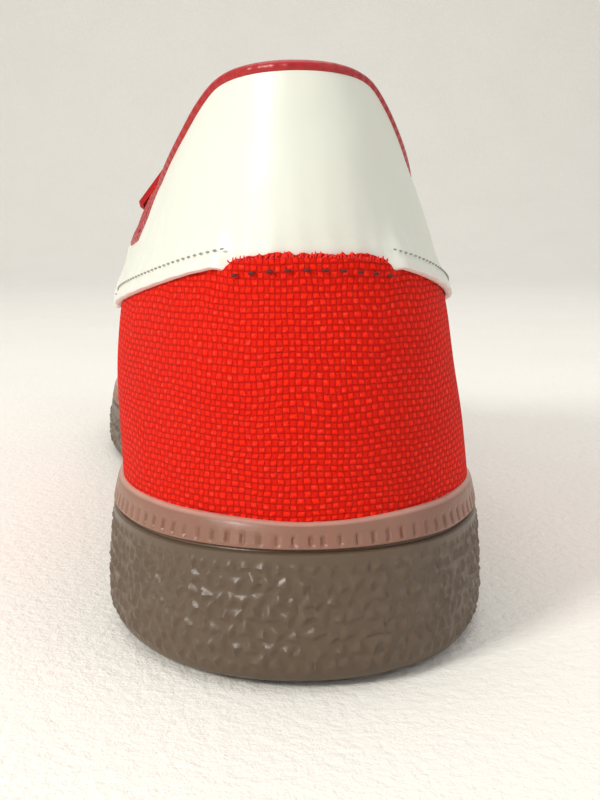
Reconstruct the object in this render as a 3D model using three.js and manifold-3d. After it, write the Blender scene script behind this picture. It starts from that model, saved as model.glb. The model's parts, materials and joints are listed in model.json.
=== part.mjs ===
// A low court sneaker for the right foot: a canvas upper on a last, a leather heel tab, a canvas
// heel counter, eyestay and toe cap, a padded tongue, flat laces and a moulded gum rubber cup sole.
// Millimetres, +Z up. +Y runs from the heel to the toe and -X is the inner (big toe) side.
import * as THREE from 'three';
import { mergeVertices } from 'three/addons/utils/BufferGeometryUtils.js';
import Module from 'manifold-3d';

const wasm = await Module();
wasm.setup();

// Driving sizes of the shoe
const soleLength = 280;
const ballWidth = 100;
const heelCapLength = 44;
const toeCapLength = 56;
const toeSwing = 9;
const heelCollarHeight = 98.5;
const collarDipHeight = 69;
const instepHeight = 100;
const toeBoxHeight = 45;
const coneHeight = 114;
const ankleSwing = 3.2;
const innerBelly = 3.4;
const instepSwing = 5;
const instepSquareness = 5.5;
const vampSquareness = 2.4;

// Driving sizes of the sole
const heelWallHeight = 28.5;
const foreWallHeight = 22;
const heelStack = 17;
const foreStack = 10;
const toeSpring = 9;
const heelBevel = 0.4;
const cupInset = 3.7;
const grooveDrop = 5.6;
const grooveWidth = 1.2;
const grooveDepth = 1.0;
const ribHeight = 2.6;
const ribDepth = 0.45;
const ribsPerColumn = 2;
const treadDepth = 1.4;
const treadWidth = 3;
const treadCount = 6;
const pivotRadius = 17;

// Driving sizes of the upper and what is sewn on it
const gap = 0.3;
const upperWall = 2.2;
const overlay = 1.2;
const overlayFoot = 0.8;
const heelLean = 6;
const throatTop = 118;
const throatFront = 176;
const throatTopHalf = 19;
const throatFrontHalf = 9;
const throatSwing = -4;
const eyestayWidth = 17;
const eyeletRows = 5;
const eyeletRadius = 2;
const eyeletInset = 7;
const counterHeight = 69.3;
const counterFront = 86;
const tabWingHeight = 56.5;
const tabFront = 80;
const toeCapBack = 226;
const tongueThickness = 5;
const tongueRise = 22;
const tongueHalf = 25;
const insoleThickness = 4;
const eyestayBack = 14;
const eyestaySideHeight = 60;
const eyestayFootHeight = 44;
const eyestayFront = 40;
const eyestaySlope = 30;
const capSide = 64;
const capFoot = 76;
const tongueTuck = 8;
const tongueBack = 14;
const tongueCorner = 6;
const tongueBackHeight = 66;
const tongueFrontHeight = 40;
const tongueReach = 20;
const toolTop = 140;
const toolMargin = 20;
const laceWidth = 6;
const laceThickness = 1.3;

const colours = {
  canvas: { color: 0xc8140e, roughness: 0.9, metalness: 0 },
  leather: { color: 0xe8e9dc, roughness: 0.5, metalness: 0 },
  lining: { color: 0x9a0f10, roughness: 0.95, metalness: 0 },
  gum: { color: 0x6b4c35, roughness: 0.45, metalness: 0 },
  lace: { color: 0xa01010, roughness: 0.9, metalness: 0 },
};

// Sole outline: along is a share of the length, inner and outer are shares of half the ball width.
const outlineTable = [
  { along: 0.0, inner: 0.69, outer: 0.69 },
  { along: 0.15, inner: 0.715, outer: 0.715 },
  { along: 0.3, inner: 0.715, outer: 0.735 },
  { along: 0.45, inner: 0.71, outer: 0.81 },
  { along: 0.58, inner: 0.82, outer: 0.95 },
  { along: 0.7, inner: 0.91, outer: 1.06 },
  { along: 0.8, inner: 0.87, outer: 1.04 },
  { along: 0.9, inner: 0.8, outer: 0.97 },
  { along: 1.0, inner: 0.74, outer: 0.9 },
];

// Heights along the shoe, as shares: wall between fore and heel wall, crown between toe box and instep.
const heightTable = [
  { along: 0.0, wall: 1.0, stack: 1.0 },
  { along: 0.2, wall: 0.85, stack: 0.95 },
  { along: 0.42, wall: 0.35, stack: 0.45 },
  { along: 0.6, wall: 0.02, stack: 0.05 },
  { along: 0.8, wall: 0.0, stack: 0.0 },
  { along: 1.0, wall: 0.25, stack: 0.0 },
];

// The last's top line from the instep to the toe: a share of the rise from toe box to instep height.
const crownTable = [
  { along: 0.0, rise: 1.0 },
  { along: 0.34, rise: 1.0 },
  { along: 0.42, rise: 0.92 },
  { along: 0.5, rise: 0.66 },
  { along: 0.58, rise: 0.42 },
  { along: 0.66, rise: 0.24 },
  { along: 0.75, rise: 0.1 },
  { along: 0.85, rise: 0.0 },
  { along: 0.93, rise: -0.09 },
  { along: 1.0, rise: -0.36 },
];

// The heel's width at each height, as shares of the cone height above the welt and the sole's width.
const heelTable = [
  { height: 0.0, width: 1.0 },
  { height: 0.14, width: 0.955 },
  { height: 0.28, width: 0.91 },
  { height: 0.38, width: 0.875 },
  { height: 0.48, width: 0.81 },
  { height: 0.59, width: 0.72 },
  { height: 0.67, width: 0.65 },
  { height: 0.77, width: 0.585 },
  { height: 0.86, width: 0.54 },
  { height: 1.0, width: 0.5 },
];

// The collar's edge in side view: y is a share of the throat's top, dip a share of the collar's fall.
const collarTable = [
  { y: -0.3, dip: 0 },
  { y: 0.04, dip: 0.0 },
  { y: 0.1, dip: 0.02 },
  { y: 0.15, dip: 0.07 },
  { y: 0.19, dip: 0.175 },
  { y: 0.24, dip: 0.33 },
  { y: 0.32, dip: 0.51 },
  { y: 0.39, dip: 0.645 },
  { y: 0.5, dip: 0.86 },
  { y: 0.61, dip: 0.965 },
  { y: 0.71, dip: 1 },
  { y: 0.81, dip: 0.95 },
  { y: 0.91, dip: 0.76 },
  { y: 1, dip: 0.48 },
];

// Cubic through the rows of a table with uneven spacing; key is the column that runs along it.
function read(table, key, column, at) {
  const last = table.length - 1;
  if (at <= table[0][key]) return table[0][column];
  if (at >= table[last][key]) return table[last][column];
  let i = 0;
  while (at > table[i + 1][key]) i += 1;
  const slope = (k) => {
    const a = table[Math.max(k - 1, 0)];
    const b = table[Math.min(k + 1, last)];
    return (b[column] - a[column]) / (b[key] - a[key]);
  };
  const span = table[i + 1][key] - table[i][key];
  const t = (at - table[i][key]) / span;
  const t2 = t * t;
  const t3 = t2 * t;
  return (2 * t3 - 3 * t2 + 1) * table[i][column] + (t3 - 2 * t2 + t) * span * slope(i)
    + (3 * t2 - 2 * t3) * table[i + 1][column] + (t3 - t2) * span * slope(i + 1);
}

const mix = (a, b, t) => a + (b - a) * t;
const smooth = (a, b, x) => THREE.MathUtils.smoothstep(x, a, b);

// The rounded heel and toe ends: 0 at the tip, 1 where the end's curve is done.
function endRound(along) {
  const heel = Math.max(0, 1 - (along * soleLength) / heelCapLength);
  const toe = Math.max(0, 1 - ((1 - along) * soleLength) / toeCapLength);
  return (1 - heel ** 2) ** (1 / 2.15) * (1 - toe ** 2.1) ** (1 / 2.1);
}

const centreX = (along) => -toeSwing * smooth(0.5, 1, along);

function outlineX(along, side) {
  const column = side < 0 ? 'inner' : 'outer';
  const share = read(outlineTable, 'along', column, along);
  return centreX(along) + side * (ballWidth / 2) * share * endRound(along);
}

// Height of the sole's underside, its wall's top edge and its inner floor
const groundZ = (along) => toeSpring * smooth(0.74, 1.06, along) + heelBevel * (1 - smooth(0, 0.05, along));
const wallZ = (along) => groundZ(along) * 0.9
  + mix(foreWallHeight, heelWallHeight, read(heightTable, 'along', 'wall', along));
const floorZ = (along) => toeSpring * smooth(0.74, 1.06, along)
  + mix(foreStack, heelStack, read(heightTable, 'along', 'stack', along));

// Stations from heel to toe, closer together at both ends
const stationCount = 22;
const stations = Array.from({ length: stationCount + 1 },
  (_, i) => (1 - Math.cos((Math.PI * i) / stationCount)) / 2);

// The loop of columns: out along the outer side from heel to toe, back along the inner side.
function loopOf(count) {
  const outer = Array.from({ length: count + 1 }, (_, i) => ({ i, side: 1 }));
  const inner = Array.from({ length: count - 1 }, (_, i) => ({ i: count - 1 - i, side: -1 }));
  return [...outer, ...inner];
}

const alongOf = (i, count) => (1 - Math.cos((Math.PI * i) / count)) / 2;

function outlinePoint(column, count) {
  const along = alongOf(column.i, count);
  return new THREE.Vector2(outlineX(along, column.side), along * soleLength);
}

// The outline's points moved inwards by an inset, square to the outline.
function insetPoint(loop, k, count, inset) {
  const n = loop.length;
  const before = outlinePoint(loop[(k + n - 1) % n], count);
  const after = outlinePoint(loop[(k + 1) % n], count);
  const here = outlinePoint(loop[k], count);
  const run = after.sub(before).normalize();
  return new THREE.Vector2(here.x - run.y * inset, here.y + run.x * inset);
}

// A closed surface from rings of points. Every ring has the same columns, or a whole multiple of
// them; the first and last rings are closed by strips across the shoe.
class Skin {
  constructor(count) {
    this.count = count;
    this.points = [];
    this.faces = [];
  }

  add(ring) {
    const first = this.points.length;
    this.points.push(...ring);
    return { first, size: ring.length };
  }

  face(a, b, c) {
    this.faces.push(a, b, c);
  }

  // Joins ring a to ring b above it; one of them may be finer by a whole number.
  join(a, b) {
    const coarse = Math.min(a.size, b.size);
    const stepsA = a.size / coarse;
    const stepsB = b.size / coarse;
    for (let k = 0; k < coarse; k += 1) {
      const low = (i) => a.first + ((k * stepsA + i) % a.size);
      const high = (j) => b.first + ((k * stepsB + j) % b.size);
      let i = 0;
      let j = 0;
      while (i < stepsA || j < stepsB) {
        if (i < stepsA && (i + 0.5) / stepsA <= (j + 0.5) / stepsB) {
          this.face(low(i), low(i + 1), high(j));
          i += 1;
        } else {
          this.face(low(i), high(j + 1), high(j));
          j += 1;
        }
      }
    }
  }

  // Closes a ring by strips between its outer and inner sides, facing down or up.
  cap(ring, up) {
    const n = this.count;
    const steps = ring.size / (2 * n);
    const outer = (i) => ring.first + i * steps;
    const inner = (i) => ring.first + ((2 * n - i) % (2 * n)) * steps;
    for (let i = 0; i < n; i += 1) {
      const [a, b, c, d] = [outer(i), outer(i + 1), inner(i + 1), inner(i)];
      if (up) {
        this.face(a, b, c);
        this.face(a, c, d);
      } else {
        this.face(a, c, b);
        this.face(a, d, c);
      }
    }
  }

  geometry() {
    const flat = new Float32Array(this.points.flatMap((p) => [p.x, p.y, p.z]));
    const made = new THREE.BufferGeometry();
    made.setAttribute('position', new THREE.BufferAttribute(flat, 3));
    made.setIndex(this.faces);
    return made;
  }
}

// three.js geometry to a manifold solid: vertices merged, faces without area dropped.
function solidOf(geometry) {
  const bare = geometry.clone();
  bare.deleteAttribute('normal');
  bare.deleteAttribute('uv');
  const merged = mergeVertices(bare, 1e-3);
  const index = [];
  const source = merged.index.array;
  for (let i = 0; i < source.length; i += 3) {
    const [a, b, c] = [source[i], source[i + 1], source[i + 2]];
    if (a !== b && b !== c && c !== a) index.push(a, b, c);
  }
  return new wasm.Manifold(new wasm.Mesh({
    numProp: 3,
    vertProperties: merged.attributes.position.array,
    triVerts: new Uint32Array(index),
  }));
}

function geometryOf(solid) {
  const mesh = solid.getMesh();
  const made = new THREE.BufferGeometry();
  made.setAttribute('position', new THREE.BufferAttribute(new Float32Array(mesh.vertProperties), 3));
  made.setIndex(new THREE.BufferAttribute(new Uint32Array(mesh.triVerts), 1));
  return made;
}

// The last: one point of its surface at a station, side and share of the way up the section.
function lastPoint(along, side, up) {
  const fore = smooth(0.18, 0.36, along);
  const share = mix(up, Math.sin((up * Math.PI) / 2), fore);
  const welt = wallZ(along);
  const crown = mix(toeBoxHeight, instepHeight, read(crownTable, 'along', 'rise', along))
    + toeSpring * smooth(0.74, 1.06, along);
  const top = mix(coneHeight, crown, smooth(0.2, 0.42, along));
  const square = mix(instepSquareness, vampSquareness, smooth(0.41, 0.56, along));
  const vault = Math.max(0, 1 - share ** square) ** 0.62;
  const width = mix(read(heelTable, 'height', 'width', share), vault, fore);
  const welted = outlineX(along, side) - centreX(along);
  const swing = -mix(ankleSwing, instepSwing, fore) * share ** 1.3;
  const z = welt + (top - welt) * share;
  const lean = heelLean * (((z - 48) / (heelCollarHeight - 48)) ** 2 * (z > 48 ? 1 : 0.9))
    - 1.2 * (1 - ((z - 48) / 24) ** 2) * (Math.abs(z - 48) < 24 ? 1 : 0);
  const leanFade = (1 - smooth(0, 0.3, along)) ** 2;
  const belly = side < 0 ? innerBelly * Math.sin(Math.PI * Math.min(1, share / 0.62)) : 0;
  const bellyFade = smooth(0.05, 0.19, along) * (1 - smooth(0.3, 0.48, along));
  const x = centreX(along) + swing + welted * width - belly * bellyFade;
  return new THREE.Vector3(x, along * soleLength + lean * leanFade, z);
}

const sectionRows = 11;
const soleStations = 30;
const weltInset = cupInset + 1.6 * gap;

// Rings of the last's surface, from below the welt to the crown, inset to stand inside the cup.
function lastRings(count) {
  const loop = loopOf(count);
  const rings = [];
  for (let row = 0; row <= sectionRows; row += 1) {
    rings.push(loop.map((column, k) => {
      const along = alongOf(column.i, count);
      const p = lastPoint(along, column.side, row / sectionRows);
      const edge = outlinePoint(column, count);
      const inside = insetPoint(loop, k, count, weltInset);
      const across = insetPoint(loop, (loop.length - k) % loop.length, count, weltInset);
      const hold = 1 - row / sectionRows;
      const narrow = Math.abs(edge.x - centreX(along)) > 0.01
        ? (p.x - centreX(along)) / (edge.x - centreX(along)) : 1;
      return new THREE.Vector3(
        p.x + (inside.x - edge.x) * Math.max(hold, Math.min(1, Math.abs(narrow))),
        p.y + (inside.y + across.y) / 2 - edge.y,
        p.z,
      );
    }));
  }
  const foot = rings[0].map((p, k) => {
    const along = alongOf(loop[k].i, count);
    return new THREE.Vector3(p.x, p.y, floorZ(along) + gap);
  });
  return [foot, ...rings];
}

const keyOf = (p) => `${p.x.toFixed(3)},${p.y.toFixed(3)},${p.z.toFixed(3)}`;

// The step of each point of a skin that grows by 1: along its normal, and longer where it bends,
// so that every face moves by 1.
function growthOf(skin) {
  const around = new Map();
  for (let i = 0; i < skin.faces.length; i += 3) {
    const [a, b, c] = [0, 1, 2].map((k) => skin.points[skin.faces[i + k]]);
    const area = new THREE.Vector3().crossVectors(b.clone().sub(a), c.clone().sub(a));
    if (area.length() < 1e-4) continue;
    for (const p of [a, b, c]) {
      const key = keyOf(p);
      around.set(key, [...(around.get(key) ?? []), area]);
    }
  }
  const growth = new Map();
  for (const [key, areas] of around) {
    const n = areas.reduce((sum, area) => sum.add(area), new THREE.Vector3()).normalize();
    const bend = Math.min(...areas.map((area) => area.clone().normalize().dot(n)));
    growth.set(key, n.divideScalar(Math.max(bend, 0.55)));
  }
  return growth;
}

// A closed form of the last, grown outwards by an offset and let down below its foot by a drop.
function lastForm(offset, drop = 0) {
  const skin = new Skin(stationCount);
  const rings = lastRings(stationCount).map((ring) => skin.add(ring));
  for (let i = 0; i + 1 < rings.length; i += 1) skin.join(rings[i], rings[i + 1]);
  const growth = growthOf(skin);
  const form = new Skin(stationCount);
  const grown = lastRings(stationCount).map((ring, row) => form.add(ring.map((p) => {
    const n = growth.get(keyOf(p)).clone();
    if (row < 2) n.setZ(0).normalize();
    return p.clone().addScaledVector(n, offset).sub(new THREE.Vector3(0, 0, row === 0 ? drop : 0));
  })));
  for (let i = 0; i + 1 < grown.length; i += 1) form.join(grown[i], grown[i + 1]);
  form.cap(grown[0], false);
  form.cap(grown[grown.length - 1], true);
  return solidOf(form.geometry());
}

// A prism across the shoe from an outline drawn in side view (y, z).
function sidePrism(points, from = -90, to = 90) {
  const shape = new THREE.Shape(points.map(([y, z]) => new THREE.Vector2(y, z)));
  const made = new THREE.ExtrudeGeometry(shape, { depth: to - from, bevelEnabled: false });
  made.applyMatrix4(new THREE.Matrix4().makeBasis(
    new THREE.Vector3(0, 1, 0),
    new THREE.Vector3(0, 0, 1),
    new THREE.Vector3(1, 0, 0),
  ));
  made.translate(from, 0, 0);
  return solidOf(made);
}

// A prism up through the shoe from an outline drawn in plan (x, y).
function planPrism(points, from, to) {
  const shape = new THREE.Shape(points.map(([x, y]) => new THREE.Vector2(x, y)));
  const made = new THREE.ExtrudeGeometry(shape, { depth: to - from, bevelEnabled: false });
  made.translate(0, 0, from);
  return solidOf(made);
}

const collarZ = (y) => mix(heelCollarHeight, collarDipHeight, read(collarTable, 'y', 'dip', y / throatTop));

function collarCutter() {
  const steps = 24;
  const line = Array.from({ length: steps + 1 }, (_, i) => {
    const y = mix(-20, throatTop, i / steps);
    return [y, collarZ(y)];
  });
  return sidePrism([...line, [throatTop, coneHeight + 20], [-20, coneHeight + 20]]);
}

// The throat in plan, grown by an amount: straight sides that close in a round front end.
function throatOutline(grow = 0) {
  const half = (y) => mix(throatTopHalf, throatFrontHalf, (y - throatTop) / (throatFront - throatTop)) + grow;
  const round = throatFrontHalf + grow;
  const arc = Array.from({ length: 9 }, (_, i) => {
    const angle = (Math.PI * i) / 8;
    return [throatSwing + round * Math.cos(angle), throatFront - throatFrontHalf + round * Math.sin(angle)];
  });
  return [
    [throatSwing - half(throatTop - 16), throatTop - 16],
    [throatSwing + half(throatTop - 16), throatTop - 16],
    ...arc,
  ];
}

function openings() {
  return collarCutter().add(planPrism(throatOutline(), 40, coneHeight + 20));
}

// Eyelet centres on one side, from the top of the throat to its front end
function eyelets(side) {
  return Array.from({ length: eyeletRows }, (_, i) => {
    const t = (i + 0.45) / eyeletRows;
    const y = mix(throatTop, throatFront - throatFrontHalf, t);
    const half = mix(throatTopHalf, throatFrontHalf, (y - throatTop) / (throatFront - throatTop));
    return new THREE.Vector2(throatSwing + side * (half + eyeletInset), y);
  });
}

// The last's outer surface over a plan point: its height and its upward normal.
function surfaceAt(x, y) {
  const probe = (px, py) => {
    const along = py / soleLength;
    const side = px < centreX(along) - instepSwing ? -1 : 1;
    let low = 0;
    let high = 1;
    for (let k = 0; k < 40; k += 1) {
      const up = (low + high) / 2;
      const p = lastPoint(along, side, up);
      const squeeze = 1 - weltInset / Math.abs(outlineX(along, side) - centreX(along));
      const reach = (p.x - centreX(along)) * squeeze + centreX(along);
      if ((px - reach) * side < 0) low = up;
      else high = up;
    }
    return lastPoint(along, side, low).z;
  };
  const step = 1.5;
  const z = probe(x, y);
  const dx = (probe(x + step, y) - probe(x - step, y)) / (2 * step);
  const dy = (probe(x, y + step) - probe(x, y - step)) / (2 * step);
  return { at: new THREE.Vector3(x, y, z), normal: new THREE.Vector3(-dx, -dy, 1).normalize() };
}

function eyeletDrills() {
  const drills = [-1, 1].flatMap((side) => eyelets(side).map((p) => {
    const { at, normal } = surfaceAt(p.x, p.y);
    const made = new THREE.CylinderGeometry(eyeletRadius, eyeletRadius, 16, 10);
    made.applyQuaternion(new THREE.Quaternion().setFromUnitVectors(new THREE.Vector3(0, 1, 0), normal));
    made.translate(at.x, at.y, at.z);
    return solidOf(made);
  }));
  return drills.reduce((sum, one) => sum.add(one));
}

// The shell between two grown forms, from which overlays are cut.
function overlayShell(inner, outer) {
  return lastForm(outer).subtract(lastForm(inner, 5));
}

const wallEdge = (y, rise) => wallZ(y / soleLength) + rise;

// Height of the seam between the heel tab's wings and the counter
function wingZ(y) {
  const back = Math.max(0, 1 - Math.max(0, y) / tabFront);
  return mix(tabWingHeight, counterHeight, back ** 1.7);
}

// Outline of the heel counter in side view: its top edge falls forwards to the sole's wall.
function counterOutline(grow = 0) {
  const steps = 12;
  const top = Array.from({ length: steps + 1 }, (_, i) => {
    const t = i / steps;
    const y = mix(-10, counterFront + grow, t);
    const drop = Math.max(0, (y - 30) / (counterFront - 30)) ** 2;
    return [y, mix(wingZ(y), wallEdge(counterFront, overlayFoot + 1.5), drop) + grow];
  });
  const foot = Array.from({ length: steps + 1 }, (_, i) => {
    const y = mix(counterFront + grow, -10, i / steps);
    return [y, wallEdge(Math.max(y, 0), overlayFoot)];
  });
  return [...top, ...foot.slice(1)];
}

function tabOutline() {
  const steps = 14;
  const edge = Array.from({ length: steps + 1 }, (_, i) => {
    const t = i / steps;
    const y = mix(-20, tabFront - 4, t);
    return [y, wingZ(y) + gap];
  });
  const fore = tabFront + 3;
  return [...edge, [tabFront, tabWingHeight + 4], [fore, collarDipHeight + toolMargin],
    [fore, toolTop], [-toolMargin, toolTop]];
}

function makeUpper(open, drills) {
  return lastForm(0).subtract(lastForm(-upperWall, 8)).subtract(open).subtract(drills);
}

function makeCounter() {
  return overlayShell(gap, gap + overlay).intersect(sidePrism(counterOutline()));
}

function makeHeelTab(open) {
  return overlayShell(gap, gap + overlay)
    .intersect(sidePrism(tabOutline()))
    .subtract(sidePrism(counterOutline(gap)))
    .subtract(open);
}

// The eyestay: a band along both sides of the throat and round its front end.
function makeEyestay(open, drills) {
  const rear = throatTop - eyestayBack;
  const fore = throatFront + eyestayFront;
  const above = sidePrism([[rear, eyestaySideHeight], [throatTop + eyestaySlope, eyestayFootHeight],
    [fore, eyestayFootHeight], [fore, toolTop], [rear, toolTop]]);
  return overlayShell(gap, gap + overlay)
    .intersect(planPrism(throatOutline(eyestayWidth), eyestayFootHeight, toolTop))
    .intersect(above)
    .subtract(open)
    .subtract(drills);
}

// The toe cap: everything forward of a curve across the vamp, down to the sole's wall.
function makeToeCap() {
  const steps = 16;
  const back = Array.from({ length: steps + 1 }, (_, i) => {
    const x = mix(-capSide, capSide, i / steps);
    return [x, toeCapBack - 0.011 * (x + 6) ** 2];
  });
  const tip = soleLength + toolMargin;
  const region = planPrism([...back, [capSide, tip], [-capSide, tip]], 0, toolTop);
  const footSteps = 16;
  const foot = Array.from({ length: footSteps + 1 }, (_, i) => {
    const y = mix(toeCapBack - capFoot, tip, i / footSteps);
    return [y, wallEdge(Math.min(soleLength, y), overlayFoot)];
  });
  const above = sidePrism([...foot, [tip, toolTop], [toeCapBack - capFoot, toolTop]]);
  return overlayShell(gap, gap + overlay).intersect(region).intersect(above);
}

// The tongue: the last's own shape under the throat, carried on up and back past its top.
function makeTongue() {
  const top = -(upperWall + gap);
  const bottom = top - tongueThickness;
  const plate = lastForm(top).subtract(lastForm(bottom, 8));
  const half = tongueHalf;
  const front = throatFront + tongueTuck;
  const back = throatTop - tongueRise - tongueBack;
  const strip = planPrism([
    [throatSwing - half + tongueCorner, back], [throatSwing + half - tongueCorner, back],
    [throatSwing + half, back + tongueCorner], [throatSwing + half * 0.7, front],
    [throatSwing - half * 0.7, front], [throatSwing - half, back + tongueCorner],
  ], tongueFrontHeight, toolTop);
  const fore = throatFront + tongueReach;
  const cone = sidePrism([[throatTop - tongueCorner, tongueBackHeight], [fore, tongueFrontHeight],
    [fore, toolTop], [back, toolTop]]);
  return plate.intersect(strip).intersect(cone);
}

// The insole: a plate on the cup's floor, inside the upper's foot.
function makeInsole() {
  const skin = new Skin(stationCount);
  const loop = loopOf(stationCount);
  const inset = weltInset + upperWall + 2 * gap;
  const ring = (lift, extra) => loop.map((column, k) => {
    const p = insetPoint(loop, k, stationCount, inset + extra);
    const along = alongOf(column.i, stationCount);
    return new THREE.Vector3(p.x, p.y, floorZ(along) + gap + lift);
  });
  const rows = [ring(0, 0.6), ring(insoleThickness * 0.6, 0), ring(insoleThickness, 1.2)];
  const rings = rows.map((r) => skin.add(r));
  skin.cap(rings[0], false);
  skin.join(rings[0], rings[1]);
  skin.join(rings[1], rings[2]);
  skin.cap(rings[2], true);
  return solidOf(skin.geometry());
}

// The sole's side from the ground up: inset from the outline and share of the wall's height,
// or a drop below the wall's top edge where drop is given.
const sideTable = [
  { inset: 4.6, share: 0.0 },
  { inset: 1.5, share: 0.04 },
  { inset: 0.2, share: 0.13 },
  { inset: 0.0, share: 0.32 },
  { inset: 0.5, share: 0.62 },
];

// The cup sole: one moulded piece with a bulging side, a groove, a ribbed band and a thin lip.
function makeSole() {
  const count = soleStations;
  const skin = new Skin(count);
  const loop = loopOf(count);
  const ring = (inset, height) => loop.map((column, k) => {
    const along = alongOf(column.i, count);
    const p = insetPoint(loop, k, count, inset);
    return new THREE.Vector3(p.x, p.y, height(along));
  });
  const ribbed = (inset, height) => {
    const coarse = ring(inset, height);
    const deep = ring(inset + ribDepth, height);
    return coarse.flatMap((p, k) => {
      const n = coarse.length;
      const parts = ribsPerColumn * 2;
      return Array.from({ length: parts }, (_, j) => {
        const a = j % 2 ? deep : coarse;
        return a[k].clone().lerp(a[(k + 1) % n], j / parts);
      });
    });
  };
  const under = (drop) => (along) => wallZ(along) - drop;
  const rings = [
    ...sideTable.map((row) => ring(row.inset, (along) => mix(groundZ(along), wallZ(along), row.share))),
    ring(0.9, under(grooveDrop + grooveWidth / 2)),
    ring(0.9 + grooveDepth, under(grooveDrop)),
    ring(0.8, under(grooveDrop - grooveWidth / 2)),
    ribbed(0.9, under(grooveDrop - grooveWidth / 2 - 0.4)),
    ribbed(1.6, under(grooveDrop - grooveWidth / 2 - 0.4 - ribHeight)),
    ring(2.0, under(1.0)),
    ring(3.0, under(0)),
    ring(cupInset, under(0)),
    ring(cupInset, floorZ),
  ].map((r) => skin.add(r));
  for (let i = 0; i + 1 < rings.length; i += 1) skin.join(rings[i], rings[i + 1]);
  skin.cap(rings[0], false);
  skin.cap(rings[rings.length - 1], true);
  let sole = solidOf(skin.geometry());
  for (const cut of treadCuts()) sole = sole.subtract(cut);
  return sole;
}

// Grooves across the forefoot and a round pivot mark under the ball
function treadCuts() {
  const cuts = [];
  for (let i = 0; i < treadCount; i += 1) {
    const y = soleLength * mix(0.5, 0.72, i / (treadCount - 1));
    const bar = new THREE.BoxGeometry(ballWidth * 0.62, treadWidth, 2 * treadDepth);
    bar.translate(centreX(y / soleLength) + 2, y, 0);
    cuts.push(solidOf(bar));
  }
  const ring = new THREE.LatheGeometry([
    [pivotRadius - treadWidth, -treadDepth], [pivotRadius, -treadDepth],
    [pivotRadius, treadDepth], [pivotRadius - treadWidth, treadDepth],
    [pivotRadius - treadWidth, -treadDepth],
  ].map(([r, z]) => new THREE.Vector2(r, z)), 20);
  ring.rotateX(Math.PI / 2);
  ring.translate(0, soleLength * 0.36, 0);
  cuts.push(solidOf(ring));
  return cuts;
}

// One stretch of flat lace between two eyelets, arched clear of the tongue and the eyestay.
function laceStrip(from, to, lift) {
  const steps = 7;
  const points = Array.from({ length: steps + 1 }, (_, i) => {
    const t = i / steps;
    const x = mix(from.x, to.x, t);
    const y = mix(from.y, to.y, t);
    const { at, normal } = surfaceAt(x, y);
    const clear = gap + overlay + gap + laceThickness / 2 + 1.7 + lift * Math.sin(Math.PI * t);
    return at.addScaledVector(normal, clear);
  });
  const curve = new THREE.CatmullRomCurve3(points);
  const half = new THREE.Vector2(laceWidth / 2, laceThickness / 2);
  const rings = Array.from({ length: steps + 1 }, (_, i) => {
    const t = i / steps;
    const at = curve.getPoint(t);
    const run = curve.getTangent(t);
    const { normal } = surfaceAt(at.x, at.y);
    const across = new THREE.Vector3().crossVectors(run, normal).normalize();
    const up = new THREE.Vector3().crossVectors(across, run).normalize();
    return [[1, 1], [-1, 1], [-1, -1], [1, -1]].map(([a, b]) => at.clone()
      .addScaledVector(across, a * half.x)
      .addScaledVector(up, b * half.y));
  });
  const flat = rings.flat().flatMap((p) => [p.x, p.y, p.z]);
  const faces = [0, 2, 1, 0, 3, 2];
  for (let i = 0; i < steps; i += 1) {
    for (let j = 0; j < 4; j += 1) {
      const [a, b] = [i * 4 + j, i * 4 + ((j + 1) % 4)];
      faces.push(a, b, b + 4, a, b + 4, a + 4);
    }
  }
  const end = steps * 4;
  faces.push(end, end + 1, end + 2, end, end + 2, end + 3);
  const made = new THREE.BufferGeometry();
  made.setAttribute('position', new THREE.BufferAttribute(new Float32Array(flat), 3));
  made.setIndex(faces);
  const solid = solidOf(made);
  if (solid.volume() > 0) return solid;
  made.setIndex(faces.flatMap((_, i) => (i % 3 ? [] : [faces[i], faces[i + 2], faces[i + 1]])));
  return solidOf(made);
}

// The lace: a straight bar at the front, then one crossing between each pair of eyelet rows.
function makeLace() {
  const inner = eyelets(-1);
  const outer = eyelets(1);
  const last = eyeletRows - 1;
  let lace = laceStrip(inner[last], outer[last], 0);
  for (let i = last - 1; i >= 0; i -= 1) {
    lace = lace.add(laceStrip(inner[i + 1], outer[i], 0)).add(laceStrip(outer[i + 1], inner[i], 0.6));
  }
  return lace;
}

// The largest body of a solid: joins and cuts of grazing faces can leave crumbs.
function mainBody(solid) {
  const bodies = solid.decompose();
  bodies.sort((a, b) => b.volume() - a.volume());
  return bodies[0];
}

function meshOf(name, solid, look) {
  const mesh = new THREE.Mesh(geometryOf(mainBody(solid)), new THREE.MeshStandardMaterial(look));
  mesh.name = name;
  return mesh;
}

const open = openings();
const drills = eyeletDrills();
const shoe = new THREE.Group();
shoe.add(meshOf('outsole', makeSole(), colours.gum));
shoe.add(meshOf('upper', makeUpper(open, drills), colours.canvas));
shoe.add(meshOf('heel_counter', makeCounter(), colours.canvas));
shoe.add(meshOf('heel_tab', makeHeelTab(open), colours.leather));
shoe.add(meshOf('eyestay', makeEyestay(open, drills), colours.canvas));
shoe.add(meshOf('toe_cap', makeToeCap(), colours.canvas));
shoe.add(meshOf('tongue', makeTongue(), colours.lining));
shoe.add(meshOf('insole', makeInsole(), colours.lining));
shoe.add(meshOf('laces', makeLace(), colours.lace));

// The frame's origin is on the ground at the middle of the shoe's own box.
const box = new THREE.Box3().setFromObject(shoe);
shoe.position.set(-(box.min.x + box.max.x) / 2, -(box.min.y + box.max.y) / 2, 0);

export default shoe;
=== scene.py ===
"""Dresses the low court sneaker (a right shoe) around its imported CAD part, and lights and frames it.

Every surface is computed with numpy on a two-parameter grid: an angle round the shoe, and a share of the
way up it or across it. Sizes are in millimetres in the shoe's own sizes: x = 0 is the heel's middle plane,
y = 0 the back of the sole and z = 0 the ground. Meshes are written in metres in the row frame.
"""

from __future__ import annotations

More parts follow.
